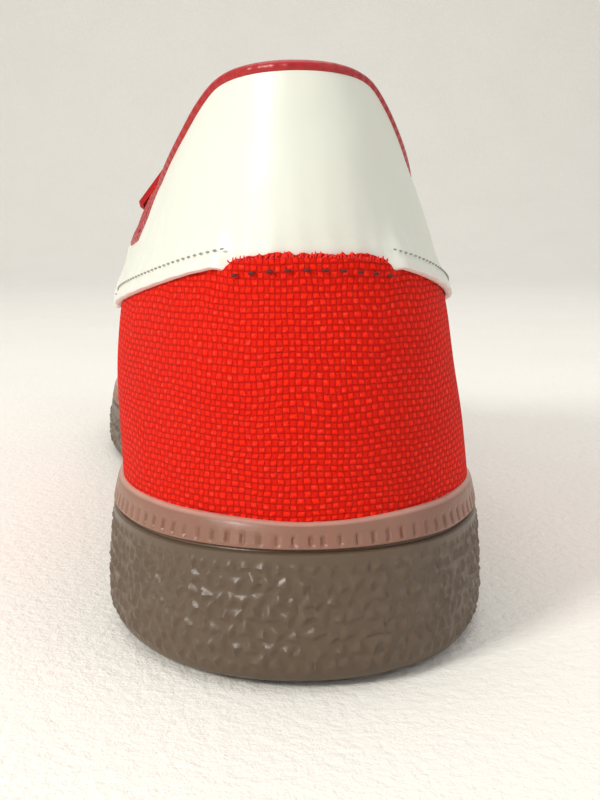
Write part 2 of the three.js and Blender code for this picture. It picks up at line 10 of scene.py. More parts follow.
import json
import logging
import math
from collections.abc import Callable
from dataclasses import dataclass, field
from enum import Enum

import bmesh
import bpy
import numpy as np
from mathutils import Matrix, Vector

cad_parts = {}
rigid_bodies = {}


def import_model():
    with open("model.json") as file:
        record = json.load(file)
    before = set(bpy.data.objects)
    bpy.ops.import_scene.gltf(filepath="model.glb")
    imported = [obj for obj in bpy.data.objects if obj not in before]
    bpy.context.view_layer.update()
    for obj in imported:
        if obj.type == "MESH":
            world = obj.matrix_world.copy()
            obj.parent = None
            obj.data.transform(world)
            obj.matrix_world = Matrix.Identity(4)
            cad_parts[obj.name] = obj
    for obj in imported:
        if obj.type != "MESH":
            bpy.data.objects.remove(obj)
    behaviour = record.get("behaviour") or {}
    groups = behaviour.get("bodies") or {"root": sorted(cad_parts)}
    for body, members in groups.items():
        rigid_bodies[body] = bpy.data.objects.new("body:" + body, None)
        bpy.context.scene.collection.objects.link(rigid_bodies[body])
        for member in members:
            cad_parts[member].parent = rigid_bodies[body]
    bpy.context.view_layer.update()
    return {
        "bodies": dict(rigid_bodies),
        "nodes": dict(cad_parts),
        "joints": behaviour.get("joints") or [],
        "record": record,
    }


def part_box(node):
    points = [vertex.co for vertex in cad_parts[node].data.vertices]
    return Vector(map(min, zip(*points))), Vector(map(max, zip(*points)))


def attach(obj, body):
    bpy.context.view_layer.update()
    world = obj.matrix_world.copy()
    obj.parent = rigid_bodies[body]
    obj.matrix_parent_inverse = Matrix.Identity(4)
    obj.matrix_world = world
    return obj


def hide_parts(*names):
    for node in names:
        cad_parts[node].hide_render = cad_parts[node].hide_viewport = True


LOG = logging.getLogger("sneaker")
BODY = "root"
MM = 0.001
TAU = 2 * math.pi
# Weights and size of the sine behind each set of repeatable random values
LATTICE = ((127.1, 311.7), 43758.5453)
SIZE_LATTICE = ((269.5, 183.3), 28001.8384)
TURN_LATTICE = ((419.2, 371.9), 19642.3491)
SEED_PHASE = 74.7

Array = np.ndarray


class Slot(Enum):
    """The record's material slot names; no piece here reads them."""

    GUM = "gum"
    CANVAS = "canvas"
    LEATHER = "leather"
    LINING = "lining"


def smooth(low: float, high: float, x: Array) -> Array:
    """A soft step.

    Args:
        low: where the step starts.
        high: where it ends.
        x: the values to map.

    Returns:
        0 below low, 1 above high and 3t^2 - 2t^3 between them.
    """
    t = np.clip((np.asarray(x, float) - low) / (high - low), 0, 1)
    return t * t * (3 - 2 * t)


def mix(a: Array, b: Array, t: Array) -> Array:
    """Linear blend.

    Args:
        a: value at t = 0.
        b: value at t = 1.
        t: the share.

    Returns:
        a + (b - a) t.
    """
    return a + (np.asarray(b) - a) * t


def table(keys: Array, values: Array, at: Array) -> Array:
    """Reads a table by cubics whose slopes are those between each row's neighbours.

    Args:
        keys: ascending keys of the rows.
        values: value of each row.
        at: where to read.

    Returns:
        The Hermite cubic through the rows, flat outside them.
    """
    keys, values = np.asarray(keys, float), np.asarray(values, float)
    n = len(keys)
    before, after = np.maximum(np.arange(n) - 1, 0), np.minimum(np.arange(n) + 1, n - 1)
    slopes = (values[after] - values[before]) / (keys[after] - keys[before])
    at = np.clip(at, keys[0], keys[-1])
    i = np.clip(np.searchsorted(keys, at, side="right") - 1, 0, n - 2)
    span = keys[i + 1] - keys[i]
    t = (at - keys[i]) / span
    return (
        (2 * t**3 - 3 * t**2 + 1) * values[i]
        + (t**3 - 2 * t**2 + t) * span * slopes[i]
        + (3 * t**2 - 2 * t**3) * values[i + 1]
        + (t**3 - t**2) * span * slopes[i + 1]
    )


def unit(v: Array) -> Array:
    """Vectors of length 1.

    Args:
        v: vectors along the last axis.

    Returns:
        Each divided by its length.
    """
    return v / np.maximum(np.linalg.norm(v, axis=-1, keepdims=True), 1e-12)


def chance(i: Array, j: Array, weights: tuple[float, float], size: float, phase: float = 0.0) -> Array:
    """A repeatable random value for each cell of a lattice.

    Args:
        i: the cell's column.
        j: the cell's row.
        weights: how strongly column and row count.
        size: how large the sine is made.
        phase: added to the sine's angle.

    Returns:
        The fraction of the large sine, from 0 to 1.
    """
    return np.mod(np.sin(i * weights[0] + j * weights[1] + phase) * size, 1.0)


def noise(x: Array, y: Array, seed: int = 0) -> Array:
    """Smooth value noise on a plane.

    Args:
        x: first coordinate, one cell per unit.
        y: second coordinate.
        seed: chooses the pattern.

    Returns:
        Values from -1 to 1: random corner values blended by a soft step in each cell.
    """
    x0, y0 = np.floor(x), np.floor(y)
    fx, fy = smooth(0, 1, x - x0), smooth(0, 1, y - y0)
    corner = [[2 * chance(x0 + i, y0 + j, *LATTICE, seed * SEED_PHASE) - 1 for i in (0, 1)] for j in (0, 1)]
    return mix(mix(*corner[0], fx), mix(*corner[1], fx), fy)


def halving(above: Callable[[Array], Array], low: Array, high: Array, steps: int) -> tuple[Array, Array]:
    """Closes in on a border by halving.

    Args:
        above: tells for some values whether the border lies above them.
        low: values under the border.
        high: values over it.
        steps: how often the span is halved.

    Returns:
        The last values under and over the border.
    """
    for _ in range(steps):
        middle = (low + high) / 2
        up = above(middle)
        low, high = np.where(up, middle, low), np.where(up, high, middle)
    return low, high


def paired(a: Array, b: Array) -> Array:
    """Two coordinates side by side, spread to one shape."""
    return np.stack(np.broadcast_arrays(a, b), -1)


def arc(points: Array) -> Array:
    """Distance along a line of points.

    Args:
        points: (n, k) points.

    Returns:
        (n,) running length, 0 at the first.
    """
    return np.concatenate([[0], np.cumsum(np.linalg.norm(np.diff(points, axis=0), axis=1))])


def girth(points: Array) -> Array:
    """Distance along each row of a grid.

    Args:
        points: (n, m, 3) points.

    Returns:
        (n, m) running length, 0 in the first column.
    """
    return np.linalg.norm(np.diff(points, axis=1, prepend=points[:, :1]), axis=-1).cumsum(1)


def read_line(line: Array, s: Array, marks: Array) -> Array:
    """Places on a line.

    Args:
        line: (n, 3) its points.
        s: (n,) their distances along it.
        marks: (k,) distances to read at.

    Returns:
        (k, 3) points, straight between the line's own.
    """
    return np.stack([np.interp(marks, s, line[:, k]) for k in range(3)], -1)


@dataclass(frozen=True)
class Crease:
    """A soft trough across the shoe's surface, placed in the shoe's own sizes.

    The surface sinks by depth times a bell across the crease's line and a bell along it, with a low
    ridge on each side of it.
    """

    at: tuple[float, float, float]
    run: tuple[float, float, float]
    length: float
    width: float
    depth: float
    rim: float = 0.75

    def sink(self, points: Array) -> Array:
        """How far the surface sinks at some points.

        Args:
            points: places on the surface, in mm.

        Returns:
            Depths in mm, negative where the cloth is pushed out.
        """
        rel = points - np.array(self.at)
        run = np.array(self.run) / np.linalg.norm(self.run)
        along = rel @ run
        off = rel - along[..., None] * run
        across = np.linalg.norm(off, axis=-1) / self.width
        bell = (1 - self.rim * across**2) * np.exp(-(across**2))
        return self.depth * bell * np.exp(-((along / self.length) ** 2))


@dataclass
class Last:
    """The shoe's form: a sole outline, heights along it and a section at every station."""

    length: float = 280.0
    half_ball: float = 50.0
    heel_cap: float = 44.0
    toe_cap: float = 56.0
    toe_swing: float = 9.0
    collar_back: float = 98.5
    collar_dip: float = 69.0
    instep: float = 100.0
    toe_box: float = 45.0
    cone: float = 114.0
    ankle_swing: float = 3.2
    inner_belly: float = 3.4
    instep_swing: float = 5.0
    instep_square: float = 5.5
    vamp_square: float = 2.4
    heel_wall: float = 28.5
    fore_wall: float = 22.0
    heel_stack: float = 17.0
    fore_stack: float = 10.0
    toe_spring: float = 9.0
    heel_bevel: float = 0.4
    welt_inset: float = 4.18
    heel_lean: float = 6.0
    throat_top: float = 118.0
    throat_front: float = 176.0
    throat_top_half: float = 19.0
    throat_front_half: float = 9.0
    throat_swing: float = -4.0
    counter_height: float = 69.3
    counter_front: float = 86.0
    wing_height: float = 56.5
    tab_front: float = 80.0
    collar_climb: float = 2.2
    throat_behind: float = 16.0
    throat_ahead: float = 14.0
    wing_power: float = 1.7
    end_power: float = 2.15
    toe_power: float = 2.1
    fore_from: float = 0.18
    fore_full: float = 0.36
    vamp_from: float = 0.41
    vamp_full: float = 0.56
    vault_power: float = 0.62
    swing_power: float = 1.3
    spring_from: float = 0.74
    spring_full: float = 1.06
    bevel_end: float = 0.05
    cone_from: float = 0.2
    cone_end: float = 0.42
    lean_height: float = 48.0
    lean_low_share: float = 0.9
    lean_end: float = 0.3
    waist: float = 1.2
    waist_half: float = 24.0
    belly_top: float = 0.62
    belly_rise: tuple[float, float] = (0.05, 0.19)
    belly_fall: tuple[float, float] = (0.3, 0.48)
    ridge_from: float = 0.93
    ridge_along: tuple[float, float] = (0.3, 0.42)
    edge_steps: int = 24
    fine_steps: int = 26
    creases: list[Crease] = field(default_factory=list)
    outline_along: tuple[float, ...] = (0.0, 0.15, 0.3, 0.45, 0.58, 0.7, 0.8, 0.9, 1.0)
    outline_inner: tuple[float, ...] = (0.69, 0.715, 0.715, 0.71, 0.82, 0.91, 0.87, 0.8, 0.74)
    outline_outer: tuple[float, ...] = (0.69, 0.715, 0.735, 0.81, 0.95, 1.06, 1.04, 0.97, 0.9)
    height_along: tuple[float, ...] = (0.0, 0.2, 0.42, 0.6, 0.8, 1.0)
    height_wall: tuple[float, ...] = (1.0, 0.85, 0.35, 0.02, 0.0, 0.25)
    height_stack: tuple[float, ...] = (1.0, 0.95, 0.45, 0.05, 0.0, 0.0)
    crown_along: tuple[float, ...] = (0.0, 0.34, 0.42, 0.5, 0.58, 0.66, 0.75, 0.85, 0.93, 1.0)
    crown_rise: tuple[float, ...] = (1.0, 1.0, 0.92, 0.66, 0.42, 0.24, 0.1, 0.0, -0.09, -0.36)
    heel_height: tuple[float, ...] = (0.0, 0.14, 0.28, 0.38, 0.48, 0.59, 0.67, 0.77, 0.86, 1.0)
    heel_width: tuple[float, ...] = (1.0, 0.955, 0.91, 0.875, 0.81, 0.72, 0.65, 0.585, 0.54, 0.5)
    collar_y: tuple[float, ...] = (
        -0.3, 0.04, 0.1, 0.15, 0.19, 0.24, 0.32, 0.39, 0.5, 0.61, 0.71, 0.81, 0.91, 1.0,
    )
    collar_fall: tuple[float, ...] = (
        0.0, 0.0, 0.02, 0.07, 0.175, 0.33, 0.51, 0.645, 0.86, 0.965, 1.0, 0.95, 0.76, 0.48,
    )

    def along(self, phi: Array) -> Array:
        """Share of the length at an angle round the shoe.

        Args:
            phi: 0 at the heel's back, pi at the toe, growing along the outer side.

        Returns:
            (1 - cos phi) / 2.
        """
        return (1 - np.cos(phi)) / 2

    def angle(self, y: Array, outer: Array | bool = True) -> Array:
        """The angle round the shoe of a distance from its back.

        Args:
            y: distance in mm.
            outer: whether it is on the outer side.

        Returns:
            The arc cosine of 1 - 2 y / length, counted the other way round on the inner side.
        """
        phi = np.arccos(np.clip(1 - 2 * y / self.length, -1, 1))
        return np.where(outer, phi, TAU - phi)

    def fore(self, along: Array) -> Array:
        """Blend from the heel's kind of section (0) to the front's (1)."""
        return smooth(self.fore_from, self.fore_full, along)

    def spring(self, along: Array) -> Array:
        """How far the toe spring lifts the sole, in mm."""
        return self.toe_spring * smooth(self.spring_from, self.spring_full, along)

    def centre_x(self, along: Array) -> Array:
        """The outline's middle line, swung to the inner side at the toe.

        Args:
            along: share of the length.

        Returns:
            x in mm.
        """
        return -self.toe_swing * smooth(0.5, 1, along)

    def outline(self, phi: Array) -> Array:
        """The sole's outline in plan.

        Args:
            phi: angle round the shoe.

        Returns:
            (..., 2) points: the half width of that side times the rounding of the heel and toe ends.
        """
        phi = np.mod(phi, TAU)
        along = self.along(phi)
        side = np.where(phi <= math.pi, 1.0, -1.0)
        inner = table(self.outline_along, self.outline_inner, along)
        outer = table(self.outline_along, self.outline_outer, along)
        heel = np.clip(1 - along * self.length / self.heel_cap, 0, 1)
        toe = np.clip(1 - (1 - along) * self.length / self.toe_cap, 0, 1)
        ends = (1 - heel**2) ** (1 / self.end_power) * (1 - toe**self.toe_power) ** (1 / self.toe_power)
        x = self.centre_x(along) + side * self.half_ball * np.where(side > 0, outer, inner) * ends
        return np.stack([x, along * self.length], -1)

    def inset(self, phi: Array, inset: Array) -> Array:
        """The outline moved inwards, square to itself.

        Args:
            phi: angle round the shoe.
            inset: how far, in mm.

        Returns:
            (..., 2) points.
        """
        step = math.pi / 50
        run = unit(self.outline(phi + step) - self.outline(phi - step))
        normal = np.stack([-run[..., 1], run[..., 0]], -1)
        return self.outline(phi) + normal * np.asarray(inset)[..., None]

    def ground(self, along: Array) -> Array:
        """Height of the sole's underside.

        Args:
            along: share of the length.

        Returns:
            z in mm: 0 from heel to ball, with toe spring and a slight heel bevel.
        """
        return self.spring(along) + self.heel_bevel * (1 - smooth(0, self.bevel_end, along))

    def wall(self, along: Array) -> Array:
        """Height of the top edge of the sole's side.

        Args:
            along: share of the length.

        Returns:
            z in mm.
        """
        share = table(self.height_along, self.height_wall, along)
        return self.ground(along) * 0.9 + mix(self.fore_wall, self.heel_wall, share)

    def floor(self, along: Array) -> Array:
        """Height of the floor inside the sole's cup.

        Args:
            along: share of the length.

        Returns:
            z in mm.
        """
        share = table(self.height_along, self.height_stack, along)
        return self.spring(along) + mix(self.fore_stack, self.heel_stack, share)

    def top(self, along: Array) -> Array:
        """Height of the last's ridge, or of its cut cone at the heel.

        Args:
            along: share of the length.

        Returns:
            z in mm.
        """
        rise = table(self.crown_along, self.crown_rise, along)
        crown = mix(self.toe_box, self.instep, rise) + self.spring(along)
        return mix(self.cone, crown, smooth(self.cone_from, self.cone_end, along))

    def share(self, phi: Array, up: Array) -> Array:
        """Share of the section's height at a share of the grid's way up.

        Args:
            phi: angle round the shoe.
            up: 0 at the welt, 1 at the ridge.

        Returns:
            up at the heel, the sine of a quarter turn times up at the front, blended between.
        """
        return mix(up, np.sin(up * math.pi / 2), self.fore(self.along(phi)))

    def up_at(self, phi: Array, z: Array) -> Array:
        """The grid's share at a height, by halving.

        Args:
            phi: angle round the shoe.
            z: height in mm.

        Returns:
            up from 0 to 1.
        """
        along = self.along(phi)
        welt = self.wall(along)
        goal = np.clip((z - welt) / (self.top(along) - welt), 0, 1)
        ends = np.zeros(goal.shape), np.ones(goal.shape)
        low, high = halving(lambda up: self.share(phi, up) < goal, *ends, self.fine_steps)
        return (low + high) / 2

    def point(self, phi: Array, up: Array) -> Array:
        """The last's surface, standing inside the sole's cup.

        Args:
            phi: angle round the shoe.
            up: 0 at the welt, 1 at the ridge.

        Returns:
            (..., 3) points: a section that narrows by the heel's table at the back and by a
            superellipse at the front, swung inwards with height, leaning at the heel's back.
        """
        phi, up = np.broadcast_arrays(np.mod(phi, TAU), up)
        along = self.along(phi)
        side = np.where(phi <= math.pi, 1.0, -1.0)
        fore = self.fore(along)
        share = self.share(phi, up)
        welt, top = self.wall(along), self.top(along)
        square = mix(self.instep_square, self.vamp_square, smooth(self.vamp_from, self.vamp_full, along))
        vault = np.clip(1 - np.clip(share, 0, 1) ** square, 0, 1) ** self.vault_power
        width = mix(table(self.heel_height, self.heel_width, share), vault, fore)
        edge = self.outline(phi)
        centre = self.centre_x(along)
        swing = -mix(self.ankle_swing, self.instep_swing, fore) * np.clip(share, 0, 1) ** self.swing_power
        z = welt + (top - welt) * share
        over = z - self.lean_height
        reach = over / (self.collar_back - self.lean_height)
        lean = self.heel_lean * reach**2 * np.where(over > 0, 1, self.lean_low_share)
        lean -= self.waist * np.clip(1 - (over / self.waist_half) ** 2, 0, 1)
        lean_fade = (1 - smooth(0, self.lean_end, along)) ** 2
        round_in = np.sin(math.pi * np.clip(share / self.belly_top, 0, 1))
        belly = np.where(side < 0, self.inner_belly * round_in, 0)
        belly_fade = smooth(*self.belly_rise, along) * (1 - smooth(*self.belly_fall, along))
        x = centre + swing + (edge[..., 0] - centre) * width - belly * belly_fade
        inside = self.inset(phi, np.full(phi.shape, self.welt_inset))
        across = self.inset(TAU - phi, np.full(phi.shape, self.welt_inset))
        half = edge[..., 0] - centre
        least = 0.01
        narrow = np.where(np.abs(half) > least, np.abs(x - centre) / np.maximum(np.abs(half), least), 1)
        hold = np.maximum(1 - up, np.minimum(1, narrow))
        x = x + (inside[..., 0] - edge[..., 0]) * hold
        y = along * self.length + lean * lean_fade + (inside[..., 1] + across[..., 1]) / 2 - edge[..., 1]
        return np.stack([x, y, z], -1)

    def grown(self, phi: Array, up: Array, offset: Array) -> Array:
        """The last's surface moved outwards along its own normal and sunk by the creases.

        Args:
            phi: angle round the shoe.
            up: share of the way up.
            offset: how far outwards, in mm.

        Returns:
            (..., 3) points: the point plus its normal, from small steps both ways, times the offset.
        """
        phi, up, offset = np.broadcast_arrays(phi, up, offset)
        turn, rise = 0.012, 0.006
        here = self.point(phi, up)
        round_step = self.point(phi + turn, up) - self.point(phi - turn, up)
        high = np.minimum(up + rise, 1)
        up_step = self.point(phi, high) - self.point(phi, high - 2 * rise)
        normal = unit(np.cross(round_step, up_step))
        ridge = smooth(self.ridge_from, 1.0, up) * smooth(*self.ridge_along, self.along(phi))
        normal = unit(normal * np.stack([1 - ridge, np.ones_like(ridge), np.ones_like(ridge)], -1))
        sink = sum((c.sink(here) for c in self.creases), np.zeros(here.shape[:-1]))
        return here + normal * (offset - sink)[..., None]

    def collar(self, y: Array) -> Array:
        """Height of the collar's edge in side view.

        Args:
            y: distance from the back, in mm.

        Returns:
            z in mm.
        """
        fall = table(self.collar_y, self.collar_fall, y / self.throat_top)
        past = np.clip(np.asarray(y) - self.throat_top, 0, None)
        return mix(self.collar_back, self.collar_dip, fall) + past * self.collar_climb

    def wing(self, y: Array) -> Array:
        """Height of the seam between the heel tab and the counter.

        Args:
            y: distance from the back, in mm.

        Returns:
            z in mm, falling ever more gently towards the tab's front.
        """
        back = np.clip(1 - np.clip(y, 0, None) / self.tab_front, 0, 1)
        return mix(self.wing_height, self.counter_height, back**self.wing_power)

    def throat_half(self, y: Array) -> Array:
        """Half width of the throat's opening.

        Args:
            y: distance from the back, in mm.

        Returns:
            Half width in mm, growing straight from its front to its top.
        """
        share = (y - self.throat_top) / (self.throat_front - self.throat_top)
        return mix(self.throat_top_half, self.throat_front_half, share)

    def edge_up(self, phi: Array) -> Array:
        """Where the upper ends: at the collar, at the throat's edge, or nowhere.

        Args:
            phi: angle round the shoe.

        Returns:
            The largest up that is neither above the collar nor over the throat, by halving.
        """
        front = self.throat_front - self.throat_front_half

        def kept(up: Array) -> Array:
            """Whether the surface is left at some shares of the way up."""
            p = self.point(phi, up)
            x, y, z = p[..., 0] - self.throat_swing, p[..., 1], p[..., 2]
            over_collar = (y < self.throat_top + self.throat_ahead) & (z > self.collar(y))
            behind = y < self.throat_top - self.throat_behind
            strip = (np.abs(x) < self.throat_half(y)) & ~behind & (y < front)
            nose = (x**2 + (y - front) ** 2 < self.throat_front_half**2) & (y >= front)
            return ~(over_collar | strip | nose)

        return halving(kept, np.zeros(phi.shape), np.ones(phi.shape), self.edge_steps)[0]

    def over(self, x: Array, y: Array, offset: Array) -> Array:
        """The grown surface over plan points of the front of the shoe.

        Args:
            x: plan x in mm.
            y: plan y in mm.
            offset: how far outwards, in mm.

        Returns:
            (..., 3) points of the grown surface above them, found by halving.
        """
        x, y, offset = np.broadcast_arrays(x, y, offset)
        ridge = self.point(self.angle(y), np.ones(y.shape))[..., 0]
        phi = self.angle(y, x >= ridge)
        far = np.abs(x - ridge)
        ends = np.zeros(phi.shape), np.ones(phi.shape)
        low, high = halving(
            lambda up: np.abs(self.point(phi, up)[..., 0] - ridge) > far, *ends, self.fine_steps
        )
        return self.grown(phi, (low + high) / 2, offset)


@dataclass
class Place:
    """Turns the shoe's own millimetres into the row frame's metres."""

    shift: Array

    @classmethod
    def of(cls, last: Last) -> Place:
        """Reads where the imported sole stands.

        Args:
            last: the shoe's form.

        Returns:
            The place, from the sole's box and the outline's own box.
        """
        low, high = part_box("outsole")
        plan = last.outline(np.linspace(0, TAU, 721))
        x = (low[0] + high[0]) / 2 - (plan[:, 0].min() + plan[:, 0].max()) / 2 * MM
        return cls(np.array([x, low[1], 0.0]))

    def metres(self, points: Array) -> Array:
        """Row-frame metres of points.

        Args:
            points: (..., 3) in mm in the shoe's own sizes.

        Returns:
            (..., 3) in metres.
        """
        return np.asarray(points) * MM + self.shift


@dataclass
class Sheet:
    """Grids of points joined into one mesh, with a map in millimetres and one extra value a point."""

    name: str
    points: list[Array] = field(default_factory=list)
    faces: list[Array] = field(default_factory=list)
    maps: list[Array] = field(default_factory=list)
    tints: list[Array] = field(default_factory=list)
    slots: list[Array] = field(default_factory=list)
    count: int = 0
    weld: float = 0.001
    edge_round: float = 0.25

    def grid(
        self,
        points: Array,
        uv: Array,
        tint: Array | float = 0.0,
        wrap: tuple[bool, bool] = (False, False),
        slot: int = 0,
    ) -> None:
        """Adds a grid of quads.

        Args:
            points: (n, m, 3) in mm.
            uv: (n, m, 2) map in mm.
            tint: value a point, or one for all.
            wrap: whether the first and the second way round are closed.
            slot: material slot of its faces.
        """
        n, m = points.shape[:2]
        i = np.arange(n if wrap[0] else n - 1)[:, None]
        j = np.arange(m if wrap[1] else m - 1)[None, :]
        i1, j1 = (i + 1) % n, (j + 1) % m
        quads = np.stack([i * m + j, i1 * m + j, i1 * m + j1, i * m + j1], -1).reshape(-1, 4)
        self.points.append(points.reshape(-1, 3))
        self.maps.append(uv.reshape(-1, 2))
        self.tints.append(np.broadcast_to(np.asarray(tint, float), (n, m)).reshape(-1))
        self.faces.append(quads + self.count)
        self.slots.append(np.full(len(quads), slot))
        self.count += n * m

    def shell(
        self,
        outer: Array,
        inner: Array,
        uv: Array,
        tint: Array | float = 0.0,
        slot: int = 0,
        far_end: bool = True,
    ) -> None:
        """Adds a thick panel as a closed skin with slightly rounded long edges.

        Args:
            outer: (n, m, 3) outer face.
            inner: (n, m, 3) inner face, under it point by point.
            uv: (n, m, 2) map.
            tint: value a point, or one for all.
            slot: material slot.
            far_end: whether the last row has an end face; a panel that folds onto itself there has none.
        """
        tint = np.broadcast_to(np.asarray(tint, float), outer.shape[:2])
        low = (outer[:, :1] + inner[:, :1]) / 2 + unit(outer[:, :1] - outer[:, 1:2]) * self.edge_round
        high = (outer[:, -1:] + inner[:, -1:]) / 2 + unit(outer[:, -1:] - outer[:, -2:-1]) * self.edge_round
        ring = np.concatenate([outer, high, inner[:, ::-1], low], 1)
        uvs = np.concatenate([uv, uv[:, -1:], uv[:, ::-1], uv[:, :1]], 1)
        tints = np.concatenate([tint, tint[:, -1:], tint[:, ::-1], tint[:, :1]], 1)
        first = self.count
        self.grid(ring, uvs, tints, (False, True), slot)
        n, m = ring.shape[:2]
        half = outer.shape[1]
        k = np.arange(half - 1)
        back = np.stack([k, k + 1, m - 3 - k, m - 2 - k], -1)
        tips = np.array([[half - 1, half, half + 1, half + 1], [0, m - 2, m - 1, m - 1]])
        near = np.concatenate([back, tips])
        far = np.concatenate([back[:, ::-1], tips[:, [2, 1, 0, 0]]]) + (n - 1) * m
        ends = np.concatenate([near, far]) if far_end else near
        self.faces.append(ends + first)
        self.slots.append(np.full(len(ends), slot))

    def build(self, place: Place, finishes: list[bpy.types.Material], sharp: float) -> bpy.types.Object:
        """Makes the mesh and its object.

        Args:
            place: where the shoe stands.
            finishes: one material a slot.
            sharp: edges that bend by more degrees than this stay crisp.

        Returns:
            The object, at the origin, riding on the shoe.
        """
        places = place.metres(np.concatenate(self.points))
        faces = np.concatenate(self.faces)
        slots = np.concatenate(self.slots)
        triangle = faces[:, 2] == faces[:, 3]
        sizes = np.where(triangle, 3, 4)
        keep = np.ones(faces.shape, bool)
        keep[triangle, 3] = False
        corners = faces[keep]
        mesh = bpy.data.meshes.new(self.name)
        mesh.vertices.add(len(places))
        mesh.vertices.foreach_set("co", places.astype(np.float32).ravel())
        mesh.loops.add(len(corners))
        mesh.loops.foreach_set("vertex_index", corners.astype(np.int32))
        mesh.polygons.add(len(faces))
        starts = np.concatenate([[0], np.cumsum(sizes)[:-1]])
        mesh.polygons.foreach_set("loop_start", starts.astype(np.int32))
        mesh.polygons.foreach_set("material_index", slots.astype(np.int32))
        mesh.update(calc_edges=True)
        mesh.polygons.foreach_set("use_smooth", np.ones(len(faces), bool))
        layer = mesh.uv_layers.new(name="cloth_mm")
        layer.data.foreach_set("uv", np.concatenate(self.maps)[corners].astype(np.float32).ravel())
        tint = mesh.attributes.new("tint", "FLOAT", "POINT")
        tint.data.foreach_set("value", np.concatenate(self.tints).astype(np.float32))
        weld = bmesh.new()
        weld.from_mesh(mesh)
        bmesh.ops.remove_doubles(weld, verts=weld.verts, dist=self.weld * MM)
        weld.to_mesh(mesh)
        weld.free()
        mesh.validate()
        mesh.set_sharp_from_angle(angle=math.radians(sharp))
        for finish in finishes:
            mesh.materials.append(finish)
        obj = bpy.data.objects.new(self.name, mesh)
        bpy.context.scene.collection.objects.link(obj)
        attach(obj, BODY)
        return obj


def dashes(starts: Array, ends: Array, lift: Array, radius: float, bow: float) -> Array:
    """Many short threads, each a bowed tube that is pointed at both ends.

    Args:
        starts: (k, 3) first ends in mm.
        ends: (k, 3) second ends.
        lift: (k, 3) unit outward directions.
        radius: thread radius.
        bow: how far the middle stands out.

    Returns:
        (k, 6, 6, 3) points: rings along each thread.
    """
    swell = radius * np.array([0.25, 0.9, 1, 1, 0.9, 0.25])
    t = np.linspace(0, 1, len(swell))
    centre = starts[:, None] * (1 - t)[None, :, None] + ends[:, None] * t[None, :, None]
    centre = centre + lift[:, None] * (bow * np.sin(math.pi * t))[None, :, None]
    run = unit(ends - starts)
    side = np.cross(run, lift)
    turn = np.arange(6) * TAU / 6
    ring = np.cos(turn)[None, :, None] * unit(side)[:, None] + np.sin(turn)[None, :, None] * lift[:, None]
    return centre[:, :, None] + ring[:, None] * swell[None, :, None, None]


def add_dashes(sheet: Sheet, points: Array, slot: int) -> None:
    """Adds a set of threads to a mesh, each closed at both ends.

    Args:
        sheet: the mesh.
        points: (k, 6, 6, 3) from dashes.
        slot: material slot.
    """
    k, n, m = points.shape[:3]
    base = np.arange(k)[:, None, None] * n * m
    i = np.arange(n - 1)[None, :, None]
    j = np.arange(m)[None, None, :]
    j1 = (j + 1) % m
    here, after = base + i * m, base + (i + 1) * m
    quads = np.stack([here + j, after + j, after + j1, here + j1], -1)
    near = np.array([[0, 1, 2, 3], [0, 3, 4, 5]])
    caps = np.concatenate([near, near[:, ::-1] + (n - 1) * m])
    quads = np.concatenate([quads.reshape(-1, 4), (base + caps).reshape(-1, 4)])
    sheet.points.append(points.reshape(-1, 3))
    sheet.maps.append(np.zeros((k * n * m, 2)))
    sheet.tints.append(np.zeros(k * n * m))
    sheet.faces.append(quads + sheet.count)
    sheet.slots.append(np.full(len(quads), slot))
    sheet.count += k * n * m


